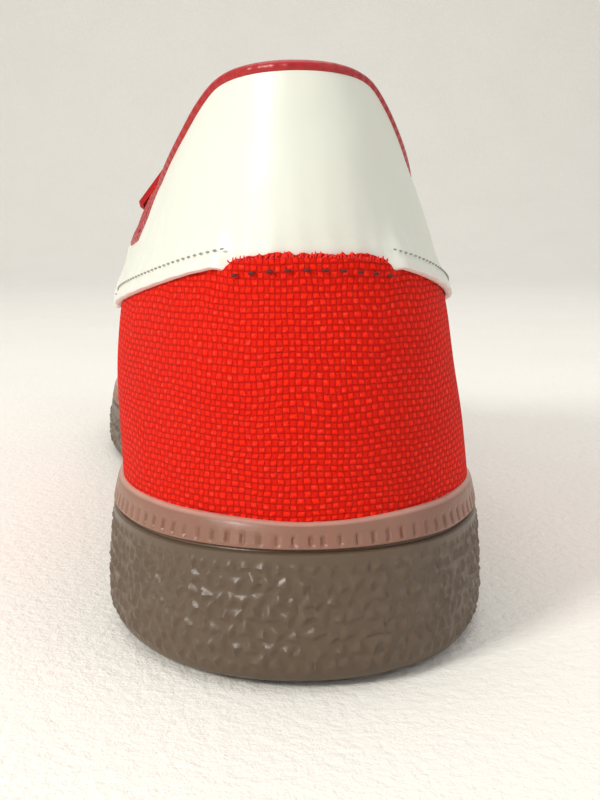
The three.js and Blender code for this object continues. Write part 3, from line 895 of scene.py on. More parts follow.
class Nodes:
    """A short way to write a node material."""

    def __init__(self, name: str) -> None:
        """Starts a material with one principled surface.

        Args:
            name: the material's name.
        """
        self.material = bpy.data.materials.new(name)
        self.material.use_nodes = True
        self.tree = self.material.node_tree
        self.tree.nodes.clear()
        self.out = self.tree.nodes.new("ShaderNodeOutputMaterial")
        self.skin = self.tree.nodes.new("ShaderNodeBsdfPrincipled")
        self.tree.links.new(self.skin.outputs[0], self.out.inputs[0])

    def put(self, socket: bpy.types.NodeSocket, value: object) -> None:
        """Links a socket or sets its value.

        Args:
            socket: the input.
            value: an output socket, a number, or a tuple.
        """
        if isinstance(value, bpy.types.NodeSocket):
            self.tree.links.new(value, socket)
        else:
            socket.default_value = value

    def math(self, kind: str, a: object, b: object = 0.0, c: object = 0.0) -> bpy.types.NodeSocket:
        """A math node.

        Args:
            kind: its operation.
            a: first value.
            b: second value.
            c: third value.

        Returns:
            The result's socket.
        """
        node = self.tree.nodes.new("ShaderNodeMath")
        node.operation = kind
        for socket, value in zip(node.inputs, (a, b, c)):
            self.put(socket, value)
        return node.outputs[0]

    def cloth(self) -> tuple[bpy.types.NodeSocket, bpy.types.NodeSocket]:
        """The map in millimetres.

        Returns:
            Its two coordinates.
        """
        uv = self.tree.nodes.new("ShaderNodeUVMap")
        uv.uv_map = "cloth_mm"
        split = self.tree.nodes.new("ShaderNodeSeparateXYZ")
        self.tree.links.new(uv.outputs[0], split.inputs[0])
        return split.outputs[0], split.outputs[1]

    def place(self) -> bpy.types.NodeSocket:
        """Object coordinates.

        Returns:
            Their socket.
        """
        return self.tree.nodes.new("ShaderNodeTexCoord").outputs["Object"]

    def tint(self) -> bpy.types.NodeSocket:
        """The extra value of each point.

        Returns:
            Its socket.
        """
        node = self.tree.nodes.new("ShaderNodeAttribute")
        node.attribute_name = "tint"
        return node.outputs["Fac"]

    def noise(
        self, vector: object, scale: float, detail: float = 2.0, rough: float = 0.5
    ) -> bpy.types.NodeSocket:
        """A noise texture.

        Args:
            vector: where it is read.
            scale: cells a unit.
            detail: octaves.
            rough: how strong the finer ones are.

        Returns:
            Its value's socket.
        """
        node = self.tree.nodes.new("ShaderNodeTexNoise")
        node.inputs["Scale"].default_value = scale
        node.inputs["Detail"].default_value = detail
        node.inputs["Roughness"].default_value = rough
        self.put(node.inputs["Vector"], vector)
        return node.outputs[0]

    def ramp(self, value: object, *stops: tuple[float, tuple[float, float, float]]) -> bpy.types.NodeSocket:
        """A colour ramp.

        Args:
            value: what it reads.
            stops: places and colours.

        Returns:
            The colour's socket.
        """
        node = self.tree.nodes.new("ShaderNodeValToRGB")
        band = node.color_ramp
        while len(band.elements) < len(stops):
            band.elements.new(0.5)
        for element, (at, colour) in zip(band.elements, stops):
            element.position = at
            element.color = (*colour, 1)
        self.put(node.inputs[0], value)
        return node.outputs[0]

    def blend(self, share: object, a: object, b: object, kind: str = "MIX") -> bpy.types.NodeSocket:
        """Mixes two colours.

        Args:
            share: how much of the second.
            a: first colour.
            b: second colour.
            kind: blend type.

        Returns:
            The colour's socket.
        """
        node = self.tree.nodes.new("ShaderNodeMix")
        node.data_type = "RGBA"
        node.blend_type = kind
        self.put(node.inputs[0], share)
        for socket, value in ((node.inputs[6], a), (node.inputs[7], b)):
            self.put(socket, (*value, 1) if isinstance(value, tuple) and len(value) == 3 else value)
        return node.outputs[2]

    def bump(
        self, height: object, distance: float, strength: float = 1.0, under: object = None
    ) -> bpy.types.NodeSocket:
        """A bump node.

        Args:
            height: the height's socket.
            distance: its real height in metres.
            strength: how much of it shows.
            under: a normal it adds to.

        Returns:
            The normal's socket.
        """
        node = self.tree.nodes.new("ShaderNodeBump")
        node.inputs["Strength"].default_value = strength
        node.inputs["Distance"].default_value = distance
        self.put(node.inputs["Height"], height)
        if under is not None:
            self.put(node.inputs["Normal"], under)
        return node.outputs[0]

    def done(self, **inputs: object) -> bpy.types.Material:
        """Sets the surface's inputs.

        Args:
            inputs: principled inputs by name, with underscores for spaces.

        Returns:
            The material.
        """
        for name, value in inputs.items():
            socket = self.skin.inputs[name.replace("_", " ")]
            if isinstance(value, tuple) and len(value) == 3 and socket.type == "RGBA":
                value = (*value, 1)
            self.put(socket, value)
        return self.material


def srgb(r: float, g: float, b: float) -> tuple[float, float, float]:
    """A colour read off a picture.

    Args:
        r: red from 0 to 255.
        g: green.
        b: blue.

    Returns:
        Linear values.
    """
    c = np.array([r, g, b]) / 255
    return tuple(float(v) for v in np.where(c <= 0.04045, c / 12.92, ((c + 0.055) / 1.055) ** 2.4))


@dataclass(frozen=True)
class Canvas:
    """Coarse plain weave: round threads that pass over and under each other."""

    name: str = "canvas"
    pitch: float = 1.2
    row_share: float = 0.88
    # lit is a painted highlight for the thread crowns and deep a painted shade for the gaps between threads;
    # deep also darkens random clouds.
    lit: tuple[float, float, float] = (243, 34, 8)
    deep: tuple[float, float, float] = (158, 3, 2)
    depth: float = 0.00036

    def make(self) -> bpy.types.Material:
        """Builds the material.

        Returns:
            A weave whose height is the upper thread's round, in a chequer of the two directions.
        """
        n = Nodes(self.name)
        u, v = n.cloth()
        where = n.place()
        wander = n.math("MULTIPLY", n.math("SUBTRACT", n.noise(where, 200, 3), 0.5), 1.8)
        u = n.math("ADD", u, wander)
        v = n.math("ADD", v, n.math("MULTIPLY", n.math("SUBTRACT", n.noise(where, 75, 3), 0.5), 2.4))
        pu = n.math("MULTIPLY", u, math.pi / self.pitch)
        pv = n.math("MULTIPLY", v, math.pi / (self.pitch * self.row_share))
        su, sv = n.math("SINE", pu), n.math("SINE", pv)
        over = n.math("GREATER_THAN", n.math("MULTIPLY", su, sv), 0.0)
        au, av = n.math("ABSOLUTE", su), n.math("ABSOLUTE", sv)
        weft = n.math("MULTIPLY", n.math("POWER", au, 0.35), n.math("POWER", av, 0.9))
        warp = n.math("MULTIPLY", n.math("POWER", av, 0.4), n.math("POWER", au, 0.7))
        warp = n.math("MULTIPLY", warp, 0.28)
        weave = n.math("ADD", warp, n.math("MULTIPLY", over, n.math("SUBTRACT", weft, warp)))
        yarn = n.math("ADD", 0.75, n.math("MULTIPLY", n.noise(where, 420, 2), 0.5))
        fibre = n.noise(where, 2600, 3, 0.65)
        height = n.math("ADD", n.math("MULTIPLY", weave, yarn), n.math("MULTIPLY", fibre, 0.3))
        # Painted highlight on the thread crowns and painted shade in the gaps between them, set by the
        # weave's height.
        middle = tuple(0.5 * (a + b) for a, b in zip(srgb(*self.deep), srgb(*self.lit)))
        colour = n.ramp(height, (0.08, srgb(*self.deep)), (0.4, middle), (0.85, srgb(*self.lit)))
        cloud = n.ramp(n.noise(where, 38, 4, 0.6), (0.4, (0, 0, 0)), (0.75, (1, 1, 1)))
        colour = n.blend(n.math("MULTIPLY", cloud, 0.25), colour, srgb(*self.deep))
        # Painted highlight: pale orange glints on random loose fibres, only on the thread crowns.
        fuzz_glint = n.math("MULTIPLY", n.math("GREATER_THAN", n.noise(where, 1700, 2), 0.6), 0.25)
        colour = n.blend(n.math("MULTIPLY", fuzz_glint, weave), colour, srgb(255, 104, 78))
        return n.done(
            Base_Color=colour,
            Roughness=0.82,
            Sheen_Weight=0.04,
            Sheen_Tint=(1.0, 0.4, 0.3),
            Sheen_Roughness=0.4,
            Specular_IOR_Level=0.12,
            Normal=n.bump(height, self.depth),
        )


@dataclass(frozen=True)
class Leather:
    """Smooth coated leather with a faint grain and soft ripples."""

    name: str = "leather"
    colour: tuple[float, float, float] = (213, 215, 203)

    def make(self) -> bpy.types.Material:
        """Builds the material.

        Returns:
            A near white skin: two noises in the bump, a warmer colour where it is thin or worn.
        """
        n = Nodes(self.name)
        where = n.place()
        wear = n.ramp(n.noise(where, 40, 4, 0.6), (0.45, (0, 0, 0)), (0.75, (1, 1, 1)))
        colour = n.blend(n.math("MULTIPLY", wear, 0.22), srgb(*self.colour), srgb(222, 215, 196))
        cut = n.tint()
        colour = n.blend(n.math("MULTIPLY", cut, 0.6), colour, srgb(226, 208, 204))
        grain = n.noise(where, 1500, 3, 0.6)
        ripple = n.noise(where, 70, 2)
        normal = n.bump(grain, 0.00003, 0.6)
        normal = n.bump(ripple, 0.0012, 0.35, normal)
        return n.done(
            Base_Color=colour,
            Roughness=0.42,
            Subsurface_Weight=0.08,
            Subsurface_Radius=(0.004, 0.003, 0.002),
            Subsurface_Scale=0.3,
            Specular_IOR_Level=0.45,
            Normal=normal,
        )


@dataclass(frozen=True)
class Lining:
    """Brushed lining cloth over foam."""

    name: str = "lining"
    colour: tuple[float, float, float] = (176, 24, 22)

    def make(self) -> bpy.types.Material:
        """Builds the material.

        Returns:
            A red nap: fine noise in colour and bump, with a strong sheen.
        """
        n = Nodes(self.name)
        where = n.place()
        nap = n.noise(where, 1300, 4, 0.7)
        colour = n.blend(nap, srgb(*self.colour), srgb(120, 10, 12))
        return n.done(
            Base_Color=colour,
            Roughness=0.9,
            Sheen_Weight=0.5,
            Sheen_Tint=(1.0, 0.55, 0.5),
            Specular_IOR_Level=0.2,
            Normal=n.bump(nap, 0.00012),
        )


@dataclass(frozen=True)
class Binding:
    """Smooth coated tape that edges the collar."""

    name: str = "binding"

    def make(self) -> bpy.types.Material:
        """Builds the material.

        Returns:
            A dark red coat with a soft shine, dimpled along its length.
        """
        n = Nodes(self.name)
        u, _ = n.cloth()
        dimple = n.math("SINE", n.math("MULTIPLY", u, TAU / 2.1))
        grain = n.noise(n.place(), 700, 3)
        colour = n.blend(n.math("MULTIPLY", grain, 0.5), srgb(168, 18, 20), srgb(118, 2, 8))
        height = n.math("ADD", n.math("MULTIPLY", dimple, 0.6), grain)
        return n.done(Base_Color=colour, Roughness=0.34, Normal=n.bump(height, 0.00012, 0.8))


@dataclass(frozen=True)
class Gum:
    """Moulded gum rubber: the band above the groove is paler and slightly clear."""

    name: str = "gum"

    def make(self) -> bpy.types.Material:
        """Builds the material.

        Returns:
            A brown that follows the tint value from wall (0) to band (1) to lip (2), with random
            stains and blotches and fine moulding grain.
        """
        n = Nodes(self.name)
        where = n.place()
        zone = n.math("MULTIPLY", n.tint(), 0.5)
        wall, band, lip = srgb(90, 72, 54), srgb(146, 100, 82), srgb(204, 156, 140)
        # The pale lip colour, which the tint reaches where the rim turns over to face up, is a painted
        # highlight.
        colour = n.ramp(zone, (0.06, wall), (0.3, band), (0.8, band), (0.98, lip))
        stain = n.noise(where, 60, 4, 0.6)
        colour = n.blend(n.math("MULTIPLY", stain, 0.4), colour, srgb(112, 84, 58), "MULTIPLY")
        colour = n.blend(n.math("MULTIPLY", n.noise(where, 240, 3), 0.28), colour, srgb(120, 104, 84))
        grain = n.noise(where, 1100, 3, 0.6)
        return n.done(
            Base_Color=colour,
            Roughness=n.math("ADD", 0.29, n.math("MULTIPLY", n.noise(where, 500, 2), 0.2)),
            Subsurface_Weight=0.12,
            Subsurface_Radius=(0.006, 0.003, 0.002),
            Subsurface_Scale=0.4,
            Specular_IOR_Level=0.5,
            Normal=n.bump(grain, 0.00005, 0.7),
        )


@dataclass(frozen=True)
class Plain:
    """A plain finish with a little grain."""

    name: str
    colour: tuple[float, float, float]
    roughness: float = 0.8
    grain: float = 0.0001
    scale: float = 900.0

    def make(self) -> bpy.types.Material:
        """Builds the material.

        Returns:
            One colour with a fine noise in its bump.
        """
        n = Nodes(self.name)
        height = n.noise(n.place(), self.scale, 3, 0.6)
        return n.done(
            Base_Color=srgb(*self.colour),
            Roughness=self.roughness,
            Normal=n.bump(height, self.grain),
        )


@dataclass
class Wardrobe:
    """The finishes, made once."""

    canvas: bpy.types.Material
    leather: bpy.types.Material
    lining: bpy.types.Material
    binding: bpy.types.Material
    gum: bpy.types.Material
    dark_thread: bpy.types.Material
    red_thread: bpy.types.Material
    pale_thread: bpy.types.Material
    shade: bpy.types.Material
    lace: bpy.types.Material
    tongue: bpy.types.Material

    @classmethod
    def made(cls) -> Wardrobe:
        """Makes every finish.

        Returns:
            The wardrobe.
        """
        return cls(
            canvas=Canvas().make(),
            leather=Leather().make(),
            lining=Lining().make(),
            binding=Binding().make(),
            gum=Gum().make(),
            dark_thread=Plain("dark_thread", (84, 12, 12)).make(),
            red_thread=Plain("red_thread", (222, 34, 26)).make(),
            pale_thread=Plain("pale_thread", (146, 142, 130)).make(),
            shade=Plain("shade", (38, 6, 8)).make(),
            lace=Plain("lace", (170, 16, 16), 0.85, 0.0002).make(),
            tongue=Lining("tongue_cloth", (190, 22, 18)).make(),
        )


def even_angles(last: Last, spacing: Array, start: float = 0.0, stop: float = TAU) -> Array:
    """Angles whose points lie a set distance apart along the outline.

    Args:
        last: the shoe's form.
        spacing: (2, k) table of distance from the back against spacing, both in mm.
        start: first angle.
        stop: last angle.

    Returns:
        Ascending angles from start to stop.
    """
    fine = np.linspace(start, stop, 6000)
    plan = last.outline(fine)
    step = np.linalg.norm(np.diff(plan, axis=0), axis=1)
    middle = (plan[1:, 1] + plan[:-1, 1]) / 2
    counts = np.concatenate([[0], np.cumsum(step / np.interp(middle, spacing[0], spacing[1]))])
    total = max(8, int(round(counts[-1])))
    return np.interp(np.linspace(0, counts[-1], total + 1), counts, fine)


@dataclass
class CupSole:
    """The moulded sole: a pebbled side, a groove, a ribbed band, a lip, the cup and the tread."""

    last: Last
    place: Place
    wardrobe: Wardrobe
    groove_drop: float = 5.6
    cup_inset: float = 3.7
    rib_pitch: float = 2.9
    pebble_pitch: float = 2.7
    pebble_depth: float = 0.85
    pebble_shake: float = 0.42
    pebble_slope: float = 0.42
    pebble_rest: float = 0.25
    pebble_foot: tuple[float, float] = (1.8, 3.8)
    pebble_top: tuple[float, float] = (-8.3, -6.9)
    wall_rows: int = 56
    wall_up: tuple[float, ...] = (0, 0.04, 0.13, 0.32, 0.62, 0.8)
    wall_inset: tuple[float, ...] = (4.6, 1.5, 0.2, 0.0, 0.5, 0.9)
    foot_round: float = 0.4
    foot_fade: float = 0.012
    groove_room: float = 0.6
    groove_rows: tuple[tuple[float, float, float], ...] = (
        (5.9, 1.15, 0.0), (5.75, 1.75, 0.1), (5.45, 1.9, 0.3), (5.15, 1.5, 0.6), (4.95, 0.95, 0.9),
    )
    band: tuple[float, float] = (4.7, 1.7)
    band_rows: int = 9
    band_inset: float = 0.88
    band_slope: float = 0.62
    rib_depth: float = 0.45
    # The third value of each row is its tint; its rise towards 2 on the rim's upward face paints a highlight.
    lip_rows: tuple[tuple[float, float, float], ...] = (
        (1.35, 1.62, 1.1), (0.95, 1.7, 1.4), (0.45, 1.95, 1.8), (0.12, 2.35, 2.0), (0.0, 2.8, 2.0),
        (0.05, 3.35, 2.0),
    )
    lip_wave: float = 0.12
    lip_sag: float = 1.1
    sag_half: float = 17.0
    tread_depth: float = 1.4
    tread_bars: int = 6
    tread_width: float = 3.0
    tread_span: tuple[float, float] = (0.5, 0.72)
    tread_reach: float = 0.62
    tread_shift: float = 2.0
    pivot_radius: float = 17.0
    pivot_along: float = 0.36
    spacing: tuple[tuple[float, ...], ...] = ((0, 50, 75, 205, 235, 280), (0.4, 0.42, 1.0, 1.1, 0.9, 0.8))

    def pebbles(self, s: Array, z: Array) -> Array:
        """Moulded facets on the side.

        Args:
            s: distance round the sole, in mm.
            z: height in mm.

        Returns:
            Height from 0 to 1: the highest of the nearby cut-off triangular pyramids, one a cell of
            a shaken lattice, each turned and sized at random.
        """
        p = self.pebble_pitch
        ci, cj = np.floor(s / p), np.floor(z / p)
        best = np.zeros(s.shape)
        for di in (-2, -1, 0, 1, 2):
            for dj in (-2, -1, 0, 1, 2):
                i, j = ci + di, cj + dj
                r1 = chance(i, j, *LATTICE)
                r2 = chance(i, j, *SIZE_LATTICE)
                r3 = chance(i, j, *TURN_LATTICE)
                x = s - (i + 0.5 + self.pebble_shake * (r1 - 0.5) + 0.5 * np.mod(j, 2)) * p
                y = z - (j + 0.5 + self.pebble_shake * (r2 - 0.5)) * p
                turn = r3 * TAU
                size = p * (0.3 + 0.16 * r2)
                reach = np.full(s.shape, -np.inf)
                for k in range(3):
                    angle = turn + k * TAU / 3
                    reach = np.maximum(reach, x * np.cos(angle) + y * np.sin(angle))
                tilt = 0.25 * (x * np.cos(turn * 3) + y * np.sin(turn * 3)) / p
                rise = np.clip((size - reach) / (self.pebble_slope * p), 0, 0.55 + 0.45 * r1) * (1 + tilt)
                best = np.maximum(best, rise)
        return best

    def side(self, phi: Array) -> tuple[Array, Array, Array]:
        """The outer side from the ground's edge to the inner rim of the cup.

        Args:
            phi: angles round the sole.

        Returns:
            (n, m, 3) points, their map and their tint. Each row is the outline moved inwards by its
            inset at its height; the wall is pushed out by the pebbles and the band in by the ribs.
        """
        along = self.last.along(phi)
        ground, wall = self.last.ground(along), self.last.wall(along)
        s = arc(self.last.outline(phi))
        shares = np.linspace(0, 1, self.wall_rows)
        top = (wall - self.groove_drop - self.groove_room - ground) / (wall - ground)
        share = shares[None] * top[:, None]
        inset = table(self.wall_up, self.wall_inset, share)
        inset = inset + np.exp(-shares / self.foot_fade)[None] * self.foot_round
        z = mix(ground[:, None], wall[:, None], share)
        height = z - ground[:, None]
        zone = smooth(*self.pebble_foot, height) * (1 - smooth(*self.pebble_top, z - wall[:, None]))
        rise = self.pebbles(np.broadcast_to(s[:, None], z.shape), height)
        inset = inset - (rise - self.pebble_rest) * self.pebble_depth * zone
        rows = [(inset, z, 0.0 * z)]
        rows += [self.row(phi, wall, *groove) for groove in self.groove_rows]
        rib = np.cos(s * TAU / self.rib_pitch)
        for share_up, drop in zip(np.linspace(0, 1, self.band_rows), np.linspace(*self.band, self.band_rows)):
            depth = self.rib_depth * smooth(0.0, 0.1, share_up) * (1 - smooth(0.62, 0.9, share_up))
            notch = depth * (1 - smooth(-0.95, -0.45, rib))
            rows.append(self.row(phi, wall, drop, self.band_inset + self.band_slope * share_up + notch, 1.0))
        wave = self.lip_wave * noise(s / 14, s * 0, 5)
        for drop, step_in, tint in (*self.lip_rows, (0.3, self.cup_inset, 1.6)):
            rows.append(self.row(phi, wall, drop + wave * (drop < 1), step_in, tint))
        deep = wall - self.last.floor(along)
        for share_down in (0.5, 1.0):
            rows.append(self.row(phi, wall, deep * share_down, self.cup_inset, 1.0))
        insets, zs, tints = (np.concatenate(part, 1) for part in zip(*rows))
        plan = self.last.inset(phi[:, None] * np.ones_like(insets), insets)
        points = np.concatenate([plan, zs[..., None]], -1)
        return points, paired(s[:, None], zs), tints

    def row(
        self, phi: Array, wall: Array, drop: Array | float, inset: Array | float, tint: float
    ) -> tuple[Array, Array, Array]:
        """One row below the wall's top edge.

        Args:
            phi: angles round the sole.
            wall: heights of the wall's top.
            drop: how far under it.
            inset: how far inside the outline.
            tint: the row's tint.

        Returns:
            Columns of inset, height and tint.
        """
        ones = np.ones(phi.shape)
        plan = self.last.outline(phi)
        back = np.exp(-((plan[:, 0] / self.sag_half) ** 2)) * (plan[:, 1] < self.last.length / 4)
        sag = self.lip_sag * back * np.clip(1 - drop / self.groove_drop, 0, 1)
        return (ones * inset)[:, None], (wall - drop - sag)[:, None], (ones * tint)[:, None]

    def fill(self, phi: Array, ring: Array, count: int) -> Array:
        """A level fill of a ring.

        Args:
            phi: angles round the sole, the same on both sides.
            ring: (n, 3) its edge.
            count: points from the edge to the middle line.

        Returns:
            (n, count, 3) points; on the middle line both sides have the same ones.
        """
        centre = self.last.centre_x(self.last.along(phi))[:, None]
        across = np.roll(ring[::-1], 1, 0)
        share = np.linspace(1, 0, count)[None]
        x = centre + (ring[:, :1] - centre) * share
        y = ring[:, 1:2] + (across[:, 1:2] - ring[:, 1:2]) * (1 - share) / 2
        return np.stack([x, y, np.broadcast_to(ring[:, 2:3], x.shape)], -1)

    def under(self, phi: Array, rim: Array) -> Array:
        """The underside.

        Args:
            phi: angles round the sole.
            rim: (n, 3) its edge.

        Returns:
            (n, m, 3) points from the edge to the middle line, sunk by the tread's bars and ring.
        """
        points = self.fill(phi, rim, 22)
        x, y, z = points[..., 0], points[..., 1], points[..., 2]
        centre = self.last.centre_x(self.last.along(phi))
        bars = self.last.length * np.linspace(*self.tread_span, self.tread_bars)
        near = np.abs(y[..., None] - bars).min(-1)
        off = np.abs(x - centre[:, None] - self.tread_shift)
        band = (off < self.last.half_ball * self.tread_reach) & (near < self.tread_width / 2)
        far = np.hypot(x, y - self.last.length * self.pivot_along)
        ring = (far < self.pivot_radius) & (far > self.pivot_radius - self.tread_width)
        z = z + self.tread_depth * (band | ring)
        return np.stack([x, y, z], -1)

    def build(self) -> bpy.types.Object:
        """Makes the sole.

        Returns:
            The object, in place of the CAD sole.
        """
        half = even_angles(self.last, np.array(self.spacing), 0, math.pi)
        phi = np.concatenate([half[:-1], TAU - half[:0:-1]])
        side, uv, tint = self.side(phi)
        sheet = Sheet("cup_sole")
        sheet.grid(side, uv, tint, (True, False))
        under = self.under(phi, side[:, 0])
        sheet.grid(under[:, ::-1], under[:, ::-1, :2], 0.0, (True, False))
        cap = self.fill(phi, side[:, -1], 3)
        sheet.grid(cap, cap[..., :2], 1.0, (True, False))
        obj = sheet.build(self.place, [self.wardrobe.gum], 38)
        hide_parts("outsole")
        return obj


@dataclass
class Upper:
    """The hollow upper: canvas outside, padded lining inside, with a binding round its collar."""

    last: Last
    place: Place
    wardrobe: Wardrobe
    wall: float = 2.2
    pad: float = 2.2
    pad_depth: float = 20.0
    rows: int = 44
    spacing: float = 1.2
    floor_gap: float = 0.3
    crown: float = 0.5
    binding_steps: int = 420
    binding_sides: int = 14
    binding_tall: float = 1.25
    binding_lift: float = 0.35
    binding_room: float = 0.35
    binding_off: tuple[float, float] = (0.2, 1.55)

    def shell(self) -> bpy.types.Object:
        """Makes the upper.

        Returns:
            The object: a ring of rows that climbs the outer face from the cup's floor, turns over
            at the collar or throat, and goes down the lining, thicker just under the collar.
        """
        spacing = np.array([[0, self.last.length], [self.spacing, self.spacing]])
        phi = even_angles(self.last, spacing)[:-1]
        edge = self.last.edge_up(phi)
        open_top = edge < 0.995
        edge = np.where(open_top, edge, 1.0)
        v = np.linspace(0, 1, self.rows)[None]
        outer = self.last.grown(phi[:, None], v * edge[:, None], 0.0)
        floor = self.last.floor(self.last.along(phi)) + self.floor_gap
        foot = outer[:, :1].copy()
        foot[..., 2] = floor[:, None]
        down = v[:, ::-1]
        tip = self.last.grown(phi, edge, 0.0)
        depth = np.linalg.norm(outer - tip[:, None], axis=-1)[:, ::-1]
        swell = self.pad * np.sin(math.pi * np.clip(depth / self.pad_depth, 0, 1)) * open_top[:, None]
        back = (tip[:, 1] < self.last.throat_top + 4)[:, None]
        inner = self.last.grown(phi[:, None], down * edge[:, None], -(self.wall + swell * back))
        middle = (outer[:, -1:] + inner[:, :1]) / 2 + np.array([0, 0, self.crown]) * open_top[:, None, None]
        low = inner[:, -1:].copy()
        low[..., 2] = floor[:, None]
        s = arc(self.last.outline(phi))
        sheet = Sheet("upper_shell")
        outside = np.concatenate([low, foot, outer, middle], 1)
        inside = np.concatenate([middle, inner, low], 1)
        for part, slot in ((outside, 0), (inside, 1)):
            sheet.grid(part, paired(s[:, None], girth(part)), 0.0, (True, False), slot)
        obj = sheet.build(self.place, [self.wardrobe.canvas, self.wardrobe.lining], 60)
        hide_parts("upper")
        return obj

    def binding(self) -> bpy.types.Object:
        """Makes the binding round the collar.

        Returns:
            The object: a tube of oval section along the collar's edge, over the heel tab's edge too.
        """
        top = self.last.throat_top - 3
        reach = float(self.last.angle(top))
        phi = np.linspace(-reach, reach, self.binding_steps)
        up = self.last.edge_up(phi)
        inner = self.last.grown(phi, up, -1.0)
        y = inner[:, 1]
        tab = 1 - smooth(self.last.tab_front - 6, self.last.tab_front + 2, y)
        out = self.last.grown(phi, up, mix(*self.binding_off, tab))
        centre = (inner + out) / 2 + np.array([0, 0, self.binding_lift])
        half = np.linalg.norm(out - inner, axis=1) / 2 + self.binding_room
        run = unit(np.gradient(centre, axis=0))
        across = unit(out - inner)
        across = unit(across - run * np.sum(across * run, 1)[:, None])
        rise = np.cross(across, run)
        rise = rise * np.sign(rise[:, 2:3])
        turn = np.arange(self.binding_sides) * TAU / self.binding_sides
        wide = (np.cos(turn)[None] * half[:, None])[..., None] * across[:, None]
        tall = np.sin(turn)[None, :, None] * self.binding_tall * rise[:, None]
        points = centre[:, None] + wide + tall
        points[[0, -1]] = centre[[0, -1], None]
        sheet = Sheet("collar_binding")
        sheet.grid(points, paired(arc(centre)[:, None], turn[None]), 0.0, (False, True))
        obj = sheet.build(self.place, [self.wardrobe.binding], 80)
        return obj


